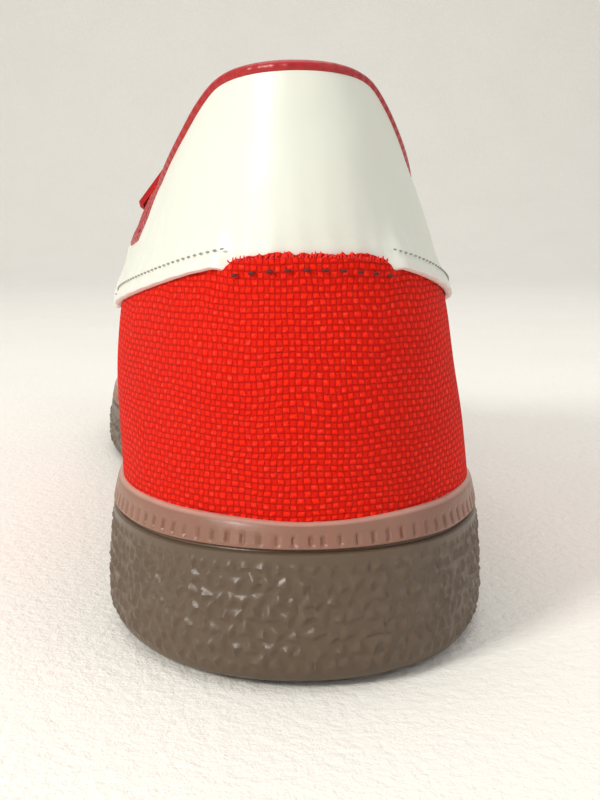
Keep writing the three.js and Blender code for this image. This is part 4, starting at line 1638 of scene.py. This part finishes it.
@dataclass
class HeelPanels:
    """The canvas counter with its raw top edge, the leather tab with its wings, and their stitches."""

    last: Last
    place: Place
    wardrobe: Wardrobe
    gap: float = 0.3
    thick: float = 1.2
    half_round: float = 30.0
    centre_half: float = 12.4
    centre_x: float = -0.5
    centre_blend: float = 1.6
    foot_drop: float = 2.4
    counter_step: float = 0.4
    counter_rows: int = 70
    counter_level: float = 30.0
    lip: float = 1.15
    sag: float = 0.25
    tab_step: float = 0.8
    tab_rows: int = 60
    tab_corner: float = 2.2
    tab_fold: float = 1.25
    fold_height: float = 4.5
    dent: float = 0.22
    pucker: float = 0.1
    pucker_pitch: float = 6.0

    def centred(self, points: Array) -> Array:
        """Where the counter lies over the tab, and not under it.

        Args:
            points: places near the seam.

        Returns:
            1 at the back's middle, 0 at its sides.
        """
        x = points[..., 0] - self.centre_x
        low, high = self.centre_half - self.centre_blend, self.centre_half + self.centre_blend
        return 1 - smooth(low, high, np.abs(x))

    def angles(self, front: float, step: float) -> Array:
        """Angles from the inner side's front round the back to the outer side's.

        Args:
            front: distance of the panel's front from the back, in mm.
            step: spacing in mm.

        Returns:
            Ascending angles, negative on the inner side.
        """
        reach = float(self.last.angle(front))
        count = int(2 * (front + self.half_round) / step)
        fine = np.linspace(-reach, reach, 3000)
        length = arc(self.last.outline(fine))
        return np.interp(np.linspace(0, length[-1], count), length, fine)

    def counter_top(self, y: Array) -> Array:
        """The counter's top edge in side view.

        Args:
            y: distance from the back.

        Returns:
            z: the seam's height, falling in a parabola to the sole at the counter's front.
        """
        level = self.counter_level
        drop = (np.clip(y - level, 0, None) / (self.last.counter_front - level)) ** 2
        return mix(self.last.wing(y), self.last.wall(y / self.last.length) + 2.3, np.clip(drop, 0, 1))

    def rows(self, phi: Array, low: Array, high: Array, count: int, offset: Array | float) -> Array:
        """Surface between two heights.

        Args:
            phi: angles.
            low: lower height of each column.
            high: upper height of each column.
            count: rows.
            offset: distance off the last.

        Returns:
            (n, count, 3) points.
        """
        z = low[:, None] + (high - low)[:, None] * np.linspace(0, 1, count)[None]
        points = self.last.grown(phi[:, None], self.last.up_at(phi[:, None] * np.ones_like(z), z), offset)
        welt = self.last.wall(self.last.along(phi))[:, None]
        points[..., 2] = np.where(z < welt, z, points[..., 2])
        return points

    def counter(self) -> bpy.types.Object:
        """Makes the counter.

        Returns:
            The object: a shell whose top edge is frayed by noise, proud of the tab at the back's
            middle and tucked under the wings at the sides.
        """
        phi = self.angles(self.last.counter_front, self.counter_step)
        y = self.last.along(phi) * self.last.length
        s = arc(self.last.outline(phi))
        fray = 0.35 * noise(s / 0.7, s * 0, 3) + 0.3 * noise(s / 2.3, s * 0, 4)
        base = self.rows(phi, self.last.wall(self.last.along(phi)), self.counter_top(y), 2, 0.0)
        middle = self.centred(base[:, 1])
        crossing = 4 * middle * (1 - middle)
        high = self.counter_top(y) + fray * (0.4 + 0.6 * middle) + 1.2 - 0.7 * middle - 1.5 * crossing
        low = self.last.wall(self.last.along(phi)) - self.foot_drop
        v = np.linspace(0, 1, self.counter_rows)[None]
        lip = smooth(0.86, 1.0, v) * middle[:, None] * self.lip
        sag = self.sag * noise(s[:, None] / 22, v * 3, 8)
        outer = self.rows(phi, low, high, self.counter_rows, self.gap + self.thick + lip + sag)
        inner = self.rows(phi, low, high, self.counter_rows, self.gap + lip)
        sheet = Sheet("heel_counter_canvas")
        sheet.shell(outer, inner, paired(s[:, None], outer[..., 2]))
        obj = sheet.build(self.place, [self.wardrobe.canvas], 60)
        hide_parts("heel_counter")
        return obj

    def tab(self) -> bpy.types.Object:
        """Makes the leather tab.

        Returns:
            The object: a shell from the seam to the collar, whose lower edge lies over the counter
            at the sides and whose front corners are rounded.
        """
        phi = self.angles(self.last.tab_front, self.tab_step)
        y = self.last.along(phi) * self.last.length
        s = arc(self.last.outline(phi))
        base = self.rows(phi, self.last.wing(y), self.last.wing(y) + 1, 2, 0.0)
        middle = self.centred(base[:, 0])
        low = self.last.wing(y) - 0.9 * middle - 0.2
        tip = self.last.grown(phi, self.last.edge_up(phi), 0.0)
        high = tip[:, 2] - 0.1
        corner = smooth(self.last.tab_front - 4.5, self.last.tab_front, y)
        low = low + self.tab_corner * corner**2
        v = np.linspace(0, 1, self.tab_rows)[None]
        span = (high - low)[:, None] * v
        proud = np.exp(-((span / self.fold_height) ** 2)) * (1 - middle)[:, None] * self.tab_fold
        dent = self.dent * noise(s[:, None] / 15, v * 4, 2) * smooth(3, 9, span)
        pucker = self.pucker * np.sin(s[:, None] * TAU / self.pucker_pitch) * np.exp(-span / 7)
        outer = self.rows(phi, low, high, self.tab_rows, self.gap + self.thick + proud + dent + pucker)
        inner = self.rows(phi, low, high, self.tab_rows, self.gap + proud)
        cut = np.exp(-((span / 0.6) ** 2))
        sheet = Sheet("heel_tab_leather")
        sheet.shell(outer, inner, paired(s[:, None], outer[..., 2]), cut)
        obj = sheet.build(self.place, [self.wardrobe.leather], 50)
        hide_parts("heel_tab")
        return obj

    def seam(
        self, pitch: float, share: float, shift: float, sides: bool, lift: float
    ) -> tuple[Array, Array, Array]:
        """Where the threads of a stitch line start and end.

        Args:
            pitch: distance between stitches, in mm.
            share: how much of the pitch a stitch takes.
            shift: distance above the seam.
            sides: whether the line runs along the wings, and not across the back's middle.
            lift: how far the thread lies off the last.

        Returns:
            Starts, ends and outward directions.
        """
        phi = self.angles(self.last.tab_front - 3, 0.25)
        y = self.last.along(phi) * self.last.length
        z = self.last.wing(y) + shift
        up = self.last.up_at(phi, z)
        line = self.last.grown(phi, up, lift)
        out = unit(self.last.grown(phi, up, lift + 1) - line)
        s = arc(line)
        marks = np.arange(0.8, s[-1] - pitch, pitch)
        starts, ends = read_line(line, s, marks), read_line(line, s, marks + pitch * share)
        way = unit(read_line(out, s, marks))
        middle = self.centred(starts)
        keep = middle < 0.2 if sides else middle > 0.5
        return starts[keep], ends[keep], way[keep]

    def stitches(self) -> bpy.types.Object:
        """Makes the stitches and the loose threads of the raw edge.

        Returns:
            One object of short threads: a line under the raw edge, a line along each wing and a
            fringe that stands up from the edge at random.
        """
        sheet = Sheet("heel_stitches")
        for line, radius, bow, slot in (
            ((2.9, 0.42, -2.0, False, 2.5), 0.27, 0.1, 0),
            ((1.5, 0.5, 2.3, True, 2.6), 0.17, 0.05, 2),
        ):
            add_dashes(sheet, dashes(*self.seam(*line), radius, bow), slot)
        rng = np.random.default_rng(7)
        starts, _, way = self.seam(0.33, 0.5, -0.2, False, 2.3)
        tangent = np.stack([way[:, 1], -way[:, 0], 0 * way[:, 0]], -1)
        reach = rng.uniform(0.3, 1.3, (len(starts), 1))
        slant = rng.normal(0, 0.7, (len(starts), 1))
        outward = rng.uniform(-0.1, 0.5, (len(starts), 1))
        ends = starts + reach * unit(np.array([0, 0, 1.0]) + slant * tangent + outward * way)
        add_dashes(sheet, dashes(starts, ends, way, 0.13, 0.15), slot=1)
        finishes = [self.wardrobe.dark_thread, self.wardrobe.red_thread, self.wardrobe.pale_thread]
        return sheet.build(self.place, finishes, 80)


@dataclass
class Front:
    """The pieces of the front: eyestay, toe cap, tongue and laces."""

    last: Last
    place: Place
    wardrobe: Wardrobe
    frame: dict
    gap: float = 0.3
    thick: float = 1.2
    eyestay_width: float = 17.0
    stay_back: float = 14.0
    stay_slope: float = 30.0
    stay_high: float = 60.0
    stay_low: float = 44.0
    tongue_half: float = 24.0
    tongue_top: float = -2.6
    tongue_foot: float = 66.0
    tongue_lean: float = 0.4
    tongue_thin: float = 1.6
    tongue_pad: float = 3.4
    tongue_swell: float = 0.9
    tongue_ridge: float = 0.2
    stay_columns: int = 22
    stay_rows: int = 44
    nose_rows: int = 34
    cap_back: float = 226.0
    cap_curve: float = 0.011
    cap_middle: float = 6.0
    cap_half: int = 26
    cap_rows: int = 40
    cap_low: float = 0.03
    stitch_pitch: float = 2.5
    eyelet_rows: int = 5
    eyelet_inset: float = 7.0
    eyelet_offset: float = 0.08
    eyelet_radius: float = 2.3
    eyelet_thread: float = 0.45
    seam_lines: list[tuple[Array, Array]] = field(default_factory=list)

    def side_floor(self, y: Array) -> Array:
        """Lowest height that the eyestay reaches on the shoe's sides.

        Args:
            y: distance from the back, in mm.

        Returns:
            z in mm, falling evenly from the throat's top towards its front.
        """
        share = (y - self.last.throat_top + self.stay_back) / (self.stay_back + self.stay_slope)
        return mix(self.stay_high, self.stay_low, np.clip(share, 0, 1))

    def stay_side(self, y: Array, side: int, share: Array, offset: float) -> Array:
        """One side of the eyestay.

        Args:
            y: (n,) distances from the back.
            side: 1 for the outer side, -1 for the inner one.
            share: (m,) shares of the way from the throat's edge to the band's outer edge.
            offset: distance off the last.

        Returns:
            (n, m, 3) points: sections at even shares of the way up, between the throat's edge and
            the place where the band has its width in plan or meets its lowest height.
        """
        last = self.last
        phi = last.angle(y, side > 0)
        high = last.edge_up(phi)
        reach = last.throat_half(y) + self.eyestay_width
        floor = self.side_floor(y)

        def outside(up: Array) -> Array:
            """Whether the surface is past the band at some shares of the way up."""
            p = last.point(phi, up)
            return (np.abs(p[:, 0] - last.throat_swing) > reach) | (p[:, 2] < floor)

        low, _ = halving(outside, np.zeros(phi.shape), high, last.edge_steps)
        up = mix(high[:, None], low[:, None], share[None])
        return last.grown(phi[:, None], up, offset)

    def eyestay(self) -> bpy.types.Object:
        """Makes the eyestay.

        Returns:
            The object: a band that runs down one side of the throat, round its front in plan and up
            the other side.
        """
        last = self.last
        front = last.throat_front - last.throat_front_half
        share = np.linspace(0, 1, self.stay_columns)
        down = np.linspace(last.throat_top - 2, front, self.stay_rows)
        turn = np.linspace(0, math.pi, self.nose_rows)[1:-1]
        nose = np.stack([np.cos(turn), np.sin(turn)], -1)
        reach = last.throat_front_half + share[None] * self.eyestay_width
        nx = last.throat_swing + nose[:, :1] * reach
        ny = front + nose[:, 1:] * reach
        faces = []
        for offset in (self.gap + self.thick, self.gap):
            outer_side = self.stay_side(down, 1, share, offset)
            inner_side = self.stay_side(down[::-1], -1, share, offset)
            faces.append(np.concatenate([outer_side, last.over(nx, ny, offset), inner_side]))
        outer, inner = faces
        uv = paired(arc(outer[:, 4])[:, None], girth(outer))
        for column in (3, -3):
            self.seam_lines.append((outer[:, column], unit(outer[:, column] - inner[:, column])))
        sheet = Sheet("eyestay_canvas")
        sheet.shell(outer[::-1], inner[::-1], uv[::-1])
        obj = sheet.build(self.place, [self.wardrobe.canvas], 60)
        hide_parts("eyestay")
        return obj

    def tongue(self) -> bpy.types.Object:
        """Makes the padded tongue.

        Returns:
            The object: a pad that follows the last under the throat and stands up behind it, thick
            in the middle and thin at its edges.
        """
        last = self.last
        across = np.linspace(-1, 1, 41)[None]
        t = np.linspace(0, 1, 60)[:, None]
        x = last.throat_swing + self.tongue_half * across
        y_end = np.full(x.shape, last.throat_top - 12.0)
        for _ in range(5):
            z = last.over(x, y_end, self.tongue_top)[..., 2]
            y_end = last.throat_top - 6 - (z - self.tongue_foot) * self.tongue_lean
        y_end = y_end + 5 * across**4
        y = mix(last.throat_front + 8, y_end, t)
        narrow = mix(0.7, 1.0, smooth(0, 0.8, t))
        x = last.throat_swing + self.tongue_half * across * narrow
        pad = (1 - across**4) * (1 - (2 * t - 1) ** 8)
        ridge = self.tongue_ridge * np.cos(across * TAU * 2.5) * smooth(0.55, 0.7, t)
        outer = last.over(x, y, self.tongue_top + self.tongue_swell * pad - 0.3 - ridge)
        inner = last.over(x, y, self.tongue_top - self.tongue_thin - self.tongue_pad * pad)
        sheet = Sheet("tongue_pad")
        sheet.shell(outer, inner, paired(x, y))
        obj = sheet.build(self.place, [self.wardrobe.tongue], 70)
        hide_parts("tongue")
        return obj

    def toe_cap(self) -> bpy.types.Object:
        """Makes the toe cap.

        Returns:
            The object: rows across the shoe from welt to welt, from the cap's curved back edge to
            the toe's tip.
        """
        last = self.last
        rise = np.linspace(self.cap_low, 1, self.cap_half)
        up = np.concatenate([rise, np.linspace(1, self.cap_low, self.cap_half)[1:]])
        outer_side = np.arange(len(up)) < self.cap_half
        back = np.full(len(up), self.cap_back)
        for _ in range(8):
            x = last.point(last.angle(back, outer_side), up)[:, 0]
            back = self.cap_back - self.cap_curve * (x + self.cap_middle) ** 2
        t = np.linspace(0, 1, self.cap_rows)[:, None]
        phi = last.angle(mix(back[None], last.length, np.sin(t * math.pi / 2)), outer_side[None])
        ups = np.broadcast_to(up[None], phi.shape)
        outer = last.grown(phi, ups, self.gap + self.thick)
        inner = last.grown(phi, ups, self.gap)
        uv = paired(girth(outer), outer[..., 1])
        for row in (1, 2):
            self.seam_lines.append((outer[row, 2:-2], unit(outer[row, 2:-2] - inner[row, 2:-2])))
        sheet = Sheet("toe_cap_canvas")
        sheet.shell(outer, inner, uv, far_end=False)
        obj = sheet.build(self.place, [self.wardrobe.canvas], 60)
        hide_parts("toe_cap")
        return obj

    def eyelets(self) -> tuple[Array, Array]:
        """Middles of the eyelets on the eyestay.

        Returns:
            (k, 3) points just off the eyestay and their (k, 3) outward directions.
        """
        last = self.last
        share = (np.arange(self.eyelet_rows) + 0.45) / self.eyelet_rows
        y = mix(last.throat_top, last.throat_front - last.throat_front_half, share)
        half = last.throat_half(y) + self.eyelet_inset
        x = np.concatenate([last.throat_swing + half, last.throat_swing - half])
        y = np.concatenate([y, y])
        low = last.over(x, y, self.gap + self.thick + self.eyelet_offset)
        return low, unit(last.over(x, y, self.gap + self.thick + 1) - low)

    def seams(self) -> bpy.types.Object:
        """Makes the stitches of the eyestay and toe cap, and the stitched eyelets.

        Returns:
            One object: short threads along the kept lines, and a ring of threads with a dark
            middle at each eyelet.
        """
        sheet = Sheet("front_stitches")
        for line, way in self.seam_lines:
            s = arc(line)
            marks = np.arange(1.0, s[-1] - self.stitch_pitch, self.stitch_pitch)
            starts, ends = read_line(line, s, marks), read_line(line, s, marks + self.stitch_pitch * 0.62)
            lift = unit(read_line(way, s, marks))
            add_dashes(sheet, dashes(starts + lift * 0.05, ends + lift * 0.05, lift, 0.24, 0.12), slot=0)
        middle, way = self.eyelets()
        first = unit(np.cross(way, np.array([0.0, 1.0, 0.3])))
        second = np.cross(way, first)
        turn = (np.arange(24) * TAU / 24)[None, :, None]
        rims = np.cos(turn) * first[:, None] + np.sin(turn) * second[:, None]
        round_turn = np.arange(8) * TAU / 8
        thread = self.eyelet_thread
        ring_out = self.eyelet_radius - thread + thread * np.cos(round_turn)
        ring_up = thread * np.sin(round_turn)
        hole_out = (self.eyelet_radius - thread) * np.array([0.0, 1.0, 0.0])
        hole_up = np.array([-0.3, 0.0, 0.12])
        for centre, rim, out in zip(middle, rims, way):
            for reach, rise, closed, slot in ((ring_out, ring_up, True, 0), (hole_out, hole_up, False, 1)):
                points = centre + rim[:, None] * reach[None, :, None] + out * rise[None, :, None]
                sheet.grid(points, points[..., :2], 0.0, (True, closed), slot)
        finishes = [self.wardrobe.dark_thread, self.wardrobe.shade]
        return sheet.build(self.place, finishes, 80)

    def dress_cad(self) -> None:
        """Gives the CAD insole and laces their finishes."""
        looks = {"insole": self.wardrobe.lining, "laces": self.wardrobe.lace}
        for name, look in looks.items():
            node = self.frame["nodes"][name]
            node.data.materials.clear()
            node.data.materials.append(look)


@dataclass
class Studio:
    """Floor, wall, lights and camera."""

    place: Place
    camera_at: tuple[float, float, float] = (-16.5, -168.1, 76.0)
    aim: tuple[float, float, float] = (-1.5, 12.0, 46.0)
    lens: float = 50.0
    sensor: float = 36.0
    near: float = 0.01
    lamps: tuple[tuple, ...] = (
        ("key", (-0.62, -0.6, 0.5), 0.22, 6.0, (1.0, 0.98, 0.93)),
        ("fill", (0.8, -0.6, 0.5), 0.9, 1.6, (1.0, 0.95, 0.88)),
        ("top", (0.0, 0.25, 1.35), 1.4, 9.0, (1.0, 1.0, 0.98)),
    )
    sky: tuple[float, float, float] = (0.93, 0.95, 1.0)
    sky_strength: float = 0.62

    def floor(self) -> None:
        """Makes the floor and the wall behind it, as one sweep of cloth."""
        t = np.linspace(0, 1, 60)
        wall, turn, top = 1.5, 0.5, 3.0
        bend = wall - turn + turn * np.sin(t * math.pi / 2)
        y = np.concatenate([np.linspace(-1.2, wall - turn, 40), bend, np.full(10, wall)])
        z = np.concatenate([np.zeros(40), turn - turn * np.cos(t * math.pi / 2), np.linspace(turn, top, 10)])
        x = np.linspace(-top, top, 30)
        points = np.stack(np.broadcast_arrays(x[:, None], y[None], z[None] - 0.0001), -1)
        n, m = points.shape[:2]
        i, j = np.meshgrid(np.arange(n - 1), np.arange(m - 1), indexing="ij")
        first = i * m + j
        faces = np.stack([first, first + m, first + m + 1, first + 1], -1).reshape(-1, 4)
        mesh = bpy.data.meshes.new("sweep")
        mesh.from_pydata(points.reshape(-1, 3).tolist(), [], faces.tolist())
        mesh.polygons.foreach_set("use_smooth", np.ones(len(faces), bool))
        nodes = Nodes("sweep")
        where = nodes.place()
        pile = nodes.noise(where, 420, 4, 0.65)
        cloud = nodes.noise(where, 16, 3)
        colour = nodes.blend(nodes.math("MULTIPLY", cloud, 0.4), srgb(240, 236, 226), srgb(226, 220, 208))
        normal = nodes.bump(pile, 0.0012, 0.7)
        mesh.materials.append(nodes.done(Base_Color=colour, Roughness=0.95, Sheen_Weight=0.3, Normal=normal))
        sweep = bpy.data.objects.new("sweep", mesh)
        bpy.context.scene.collection.objects.link(sweep)

    def lamp(self, name: str, at: tuple, size: float, power: float, colour: tuple) -> None:
        """Adds a soft lamp that looks at the shoe.

        Args:
            name: its name.
            at: its place in metres.
            size: side of its square in metres.
            power: watts.
            colour: linear colour.
        """
        middle_of_shoe = Vector((0, -0.08, 0.04))
        light = bpy.data.lights.new(name, "AREA")
        light.shape = "SQUARE"
        light.size = size
        light.energy = power
        light.color = colour
        lamp = bpy.data.objects.new(name, light)
        lamp.location = at
        lamp.rotation_euler = (middle_of_shoe - Vector(at)).to_track_quat("-Z", "Y").to_euler()
        bpy.context.scene.collection.objects.link(lamp)

    def lights(self) -> None:
        """Adds the lamps and the sky."""
        for lamp in self.lamps:
            self.lamp(*lamp)
        world = bpy.data.worlds.new("room")
        world.use_nodes = True
        shade = world.node_tree.nodes["Background"]
        shade.inputs[0].default_value = (*self.sky, 1)
        shade.inputs[1].default_value = self.sky_strength
        bpy.context.scene.world = world
        bpy.context.scene.view_settings.view_transform = "Standard"

    def camera(self) -> None:
        """Places the camera where the photograph was taken from, turned to the one shoe."""
        data = bpy.data.cameras.new("camera")
        data.sensor_width = self.sensor
        data.lens = self.lens
        data.clip_start = self.near
        eye = bpy.data.objects.new("camera", data)
        at = Vector(self.place.metres(np.array(self.camera_at)))
        aim = Vector(self.place.metres(np.array(self.aim)))
        eye.location = at
        eye.rotation_mode = "QUATERNION"
        eye.rotation_quaternion = (aim - at).to_track_quat("-Z", "Y")
        bpy.context.scene.collection.objects.link(eye)
        bpy.context.scene.camera = eye

    def build(self) -> None:
        """Makes the whole studio."""
        self.floor()
        self.lights()
        self.camera()


CREASES = [
    Crease((-4, 186, 58), (1, -0.12, -0.15), 30, 5.5, 1.0),
    Crease((-5, 199, 54), (1, 0.08, -0.12), 34, 5.0, 1.1),
    Crease((-6, 211, 51), (1, 0.2, -0.12), 26, 4.5, 0.8),
    Crease((-34, 100, 52), (0.25, 0.5, -1), 16, 5.0, 1.0),
    Crease((34, 104, 50), (-0.2, 0.5, -1), 16, 5.0, 0.9),
    Crease((-30, 62, 66), (0.1, 0.3, 1), 12, 4.5, 0.6),
    Crease((28, 58, 66), (0, 0.4, 1), 12, 4.5, 0.6),
]


def main() -> None:
    """Builds the shoe's pieces in order and reports them."""
    logging.basicConfig(level=logging.INFO, format="%(name)s: %(message)s")
    bpy.ops.wm.read_factory_settings(use_empty=True)
    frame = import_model()
    last = Last(creases=CREASES)
    place = Place.of(last)
    wardrobe = Wardrobe.made()
    upper = Upper(last, place, wardrobe)
    heel = HeelPanels(last, place, wardrobe)
    front = Front(last, place, wardrobe, frame)
    made = [
        CupSole(last, place, wardrobe).build(),
        upper.shell(),
        upper.binding(),
        heel.counter(),
        heel.tab(),
        heel.stitches(),
        front.eyestay(),
        front.tongue(),
        front.toe_cap(),
        front.seams(),
    ]
    front.dress_cad()
    for obj in made:
        LOG.info("%s: %d faces", obj.name, len(obj.data.polygons))
    Studio(place).build()


if __name__ == "__main__":
    main()
